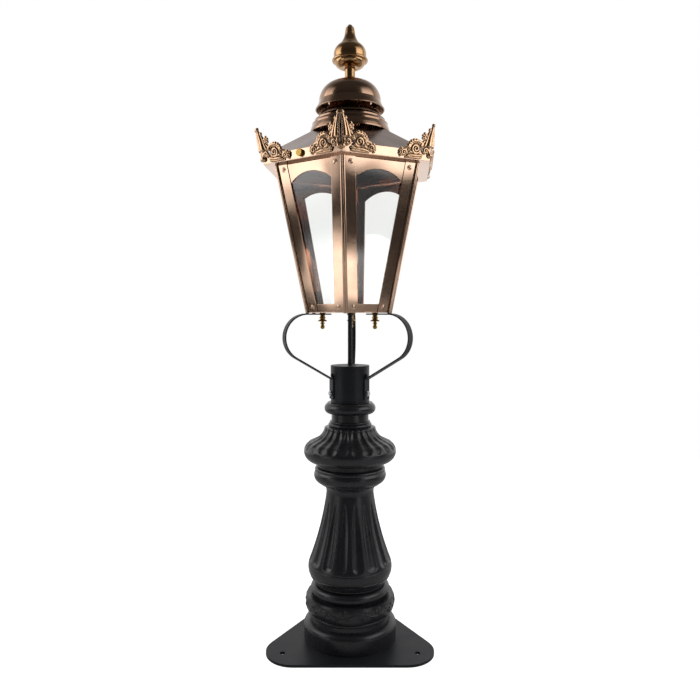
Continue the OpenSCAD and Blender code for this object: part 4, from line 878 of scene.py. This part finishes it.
def lathe(profile, steps):
    bm = bmesh.new()
    turns = np.linspace(0, 2 * math.pi, steps, endpoint=False)
    rings = []
    for reach, z in profile:
        spots = [(reach * math.cos(a), reach * math.sin(a), z) for a in turns] if reach else [(0, 0, z)]
        rings.append([bm.verts.new(spot) for spot in spots])
    for below, above in zip(rings[:-1], rings[1:]):
        for i in range(steps):
            j = (i + 1) % steps
            low, high = ([ring[k % len(ring)] for k in (i, j)] for ring in (below, above))
            bm.faces.new(list(dict.fromkeys(low + high[::-1])))
    bmesh.ops.recalc_face_normals(bm, faces=bm.faces)
    return bm


# One head in its pucker: a turned dome with a slot sunk in it
def slottedHead(g):
    r, h, shoulder = g["headReach"], g["headTall"], g["shoulder"]
    curve = np.linspace(0, math.pi / 2, g["domeSteps"])[:-1]
    dome = [(r * math.cos(a), (shoulder + (1 - shoulder) * math.sin(a)) * h) for a in curve]
    bm = lathe([(0, g["underHead"]), (r, g["underHead"])] + dome + [(0, h)], g["latheSteps"])
    for side in (-1, 1):
        bmesh.ops.bisect_plane(bm, geom=bm.verts[:] + bm.edges[:] + bm.faces[:], dist=g["cutWithin"],
                               plane_co=(side * g["slotHalf"], 0, 0), plane_no=(1, 0, 0))
    middles = {f: f.calc_center_median() for f in bm.faces}
    slot = [f for f, at in middles.items() if abs(at.x) < g["slotHalf"] and at.z > g["slotAbove"] * h]
    grown = bmesh.ops.extrude_face_region(bm, geom=slot)
    bmesh.ops.delete(bm, geom=slot, context="FACES")
    for vert in grown["geom"]:
        if isinstance(vert, bmesh.types.BMVert):
            vert.co.z = min(vert.co.z, h - g["slotDeep"])
    pucker = lathe([(share * g["puckerReach"], z) for share, z in g["puckerProfile"]], g["latheSteps"])
    data = bpy.data.meshes.new("screwHead")
    pucker.to_mesh(data)
    pucker.free()
    bm.from_mesh(data)
    bmesh.ops.recalc_face_normals(bm, faces=bm.faces)
    bm.to_mesh(data)
    bm.free()
    data.transform(Matrix.Scale(mm, 4))
    data.shade_smooth()
    data.set_sharp_from_angle(angle=math.radians(g["sharp"]))
    data.materials.append(copperSheet)
    return bpy.data.objects.new("screwHead", data)


# Tree that sets one head on each point, square to the point's own axis, its slot turned at random
def headTree():
    tree = newTree("setHeads", [("Head", "NodeSocketObject"), ("Finish", "NodeSocketMaterial"),
                                ("Seed", "NodeSocketInt")])
    given = addNode(tree, "NodeGroupInput").outputs
    axis = addNode(tree, "GeometryNodeInputNamedAttribute", {"data_type": "FLOAT_VECTOR"}, {"Name": "axis"})
    square = addNode(tree, "FunctionNodeAlignRotationToVector", {"axis": "Z"},
                     links={"Vector": axis.outputs[0]})
    head = addNode(tree, "GeometryNodeObjectInfo", links={"Object": given["Head"]})
    placed = addNode(tree, "GeometryNodeInstanceOnPoints",
                     links={"Points": given["Geometry"], "Instance": head.outputs["Geometry"],
                            "Rotation": square.outputs[0]})
    angle = addNode(tree, "FunctionNodeRandomValue", {"data_type": "FLOAT"}, {3: math.pi},
                    {"Seed": given["Seed"]})
    spin = addNode(tree, "FunctionNodeAxisAngleToRotation", values={"Axis": (0, 0, 1)},
                   links={"Angle": angle.outputs[1]})
    turned = addNode(tree, "GeometryNodeRotateInstances",
                     links={"Instances": placed.outputs[0], "Rotation": spin.outputs[0]})
    closeTree(tree, turned.outputs[0], given["Finish"])
    return tree


def growTree(name, points, axes, tree, values):
    base = bpy.data.meshes.new(name + "Places")
    base.from_pydata(points, [], [])
    stored = base.attributes.new("axis", "FLOAT_VECTOR", "POINT")
    stored.data.foreach_set("vector", np.array(axes, float).ravel())
    made = bpy.data.objects.new(name, base)
    bpy.context.scene.collection.objects.link(made)
    applyTree(made, tree, values)
    return made


# Screws stand in two rows on each of the six leaning sides, near the corners
def makeScrews(g):
    widening = g["topReach"] - g["bottomReach"]
    flare = widening * flatShare
    slope = math.hypot(g["tall"], flare)
    lean = math.atan2(flare, g["tall"])
    edge = math.atan2(widening / 2, slope)
    basis = Matrix(((0, 0, 1, 0), (1, 0, 0, 0), (0, 1, 0, 0), (0, 0, 0, 1)))
    points, axes = [], []
    for side in range(sides):
        turn = Matrix.Rotation(math.radians(sideTurn * (side - 1) + g["yaw"]), 4, "Z")
        out = Matrix.Translation((g["bottomReach"] * flatShare, 0, g["bottomZ"]))
        way = turn @ out @ Matrix.Rotation(lean, 4, "Y") @ basis
        for y in (g["fromEnd"], slope - g["fromEnd"]):
            half = (g["bottomReach"] + widening * y / slope) / 2 - g["inset"] / math.cos(edge)
            for x in (-half, half):
                points.append(tuple(way @ Vector((x, y, 0)) * mm))
                axes.append(tuple(way.to_3x3() @ Vector((0, 0, 1))))
    head = slottedHead(g)
    made = growTree("slottedScrews", points, axes, headTree(),
                    {"Head": head, "Finish": copperSheet, "Seed": g["seed"]})
    bpy.data.objects.remove(head)
    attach(made, "head")
    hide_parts("glazing_screws")
    print("screws set:", len(points))


makeScrews(glazing)
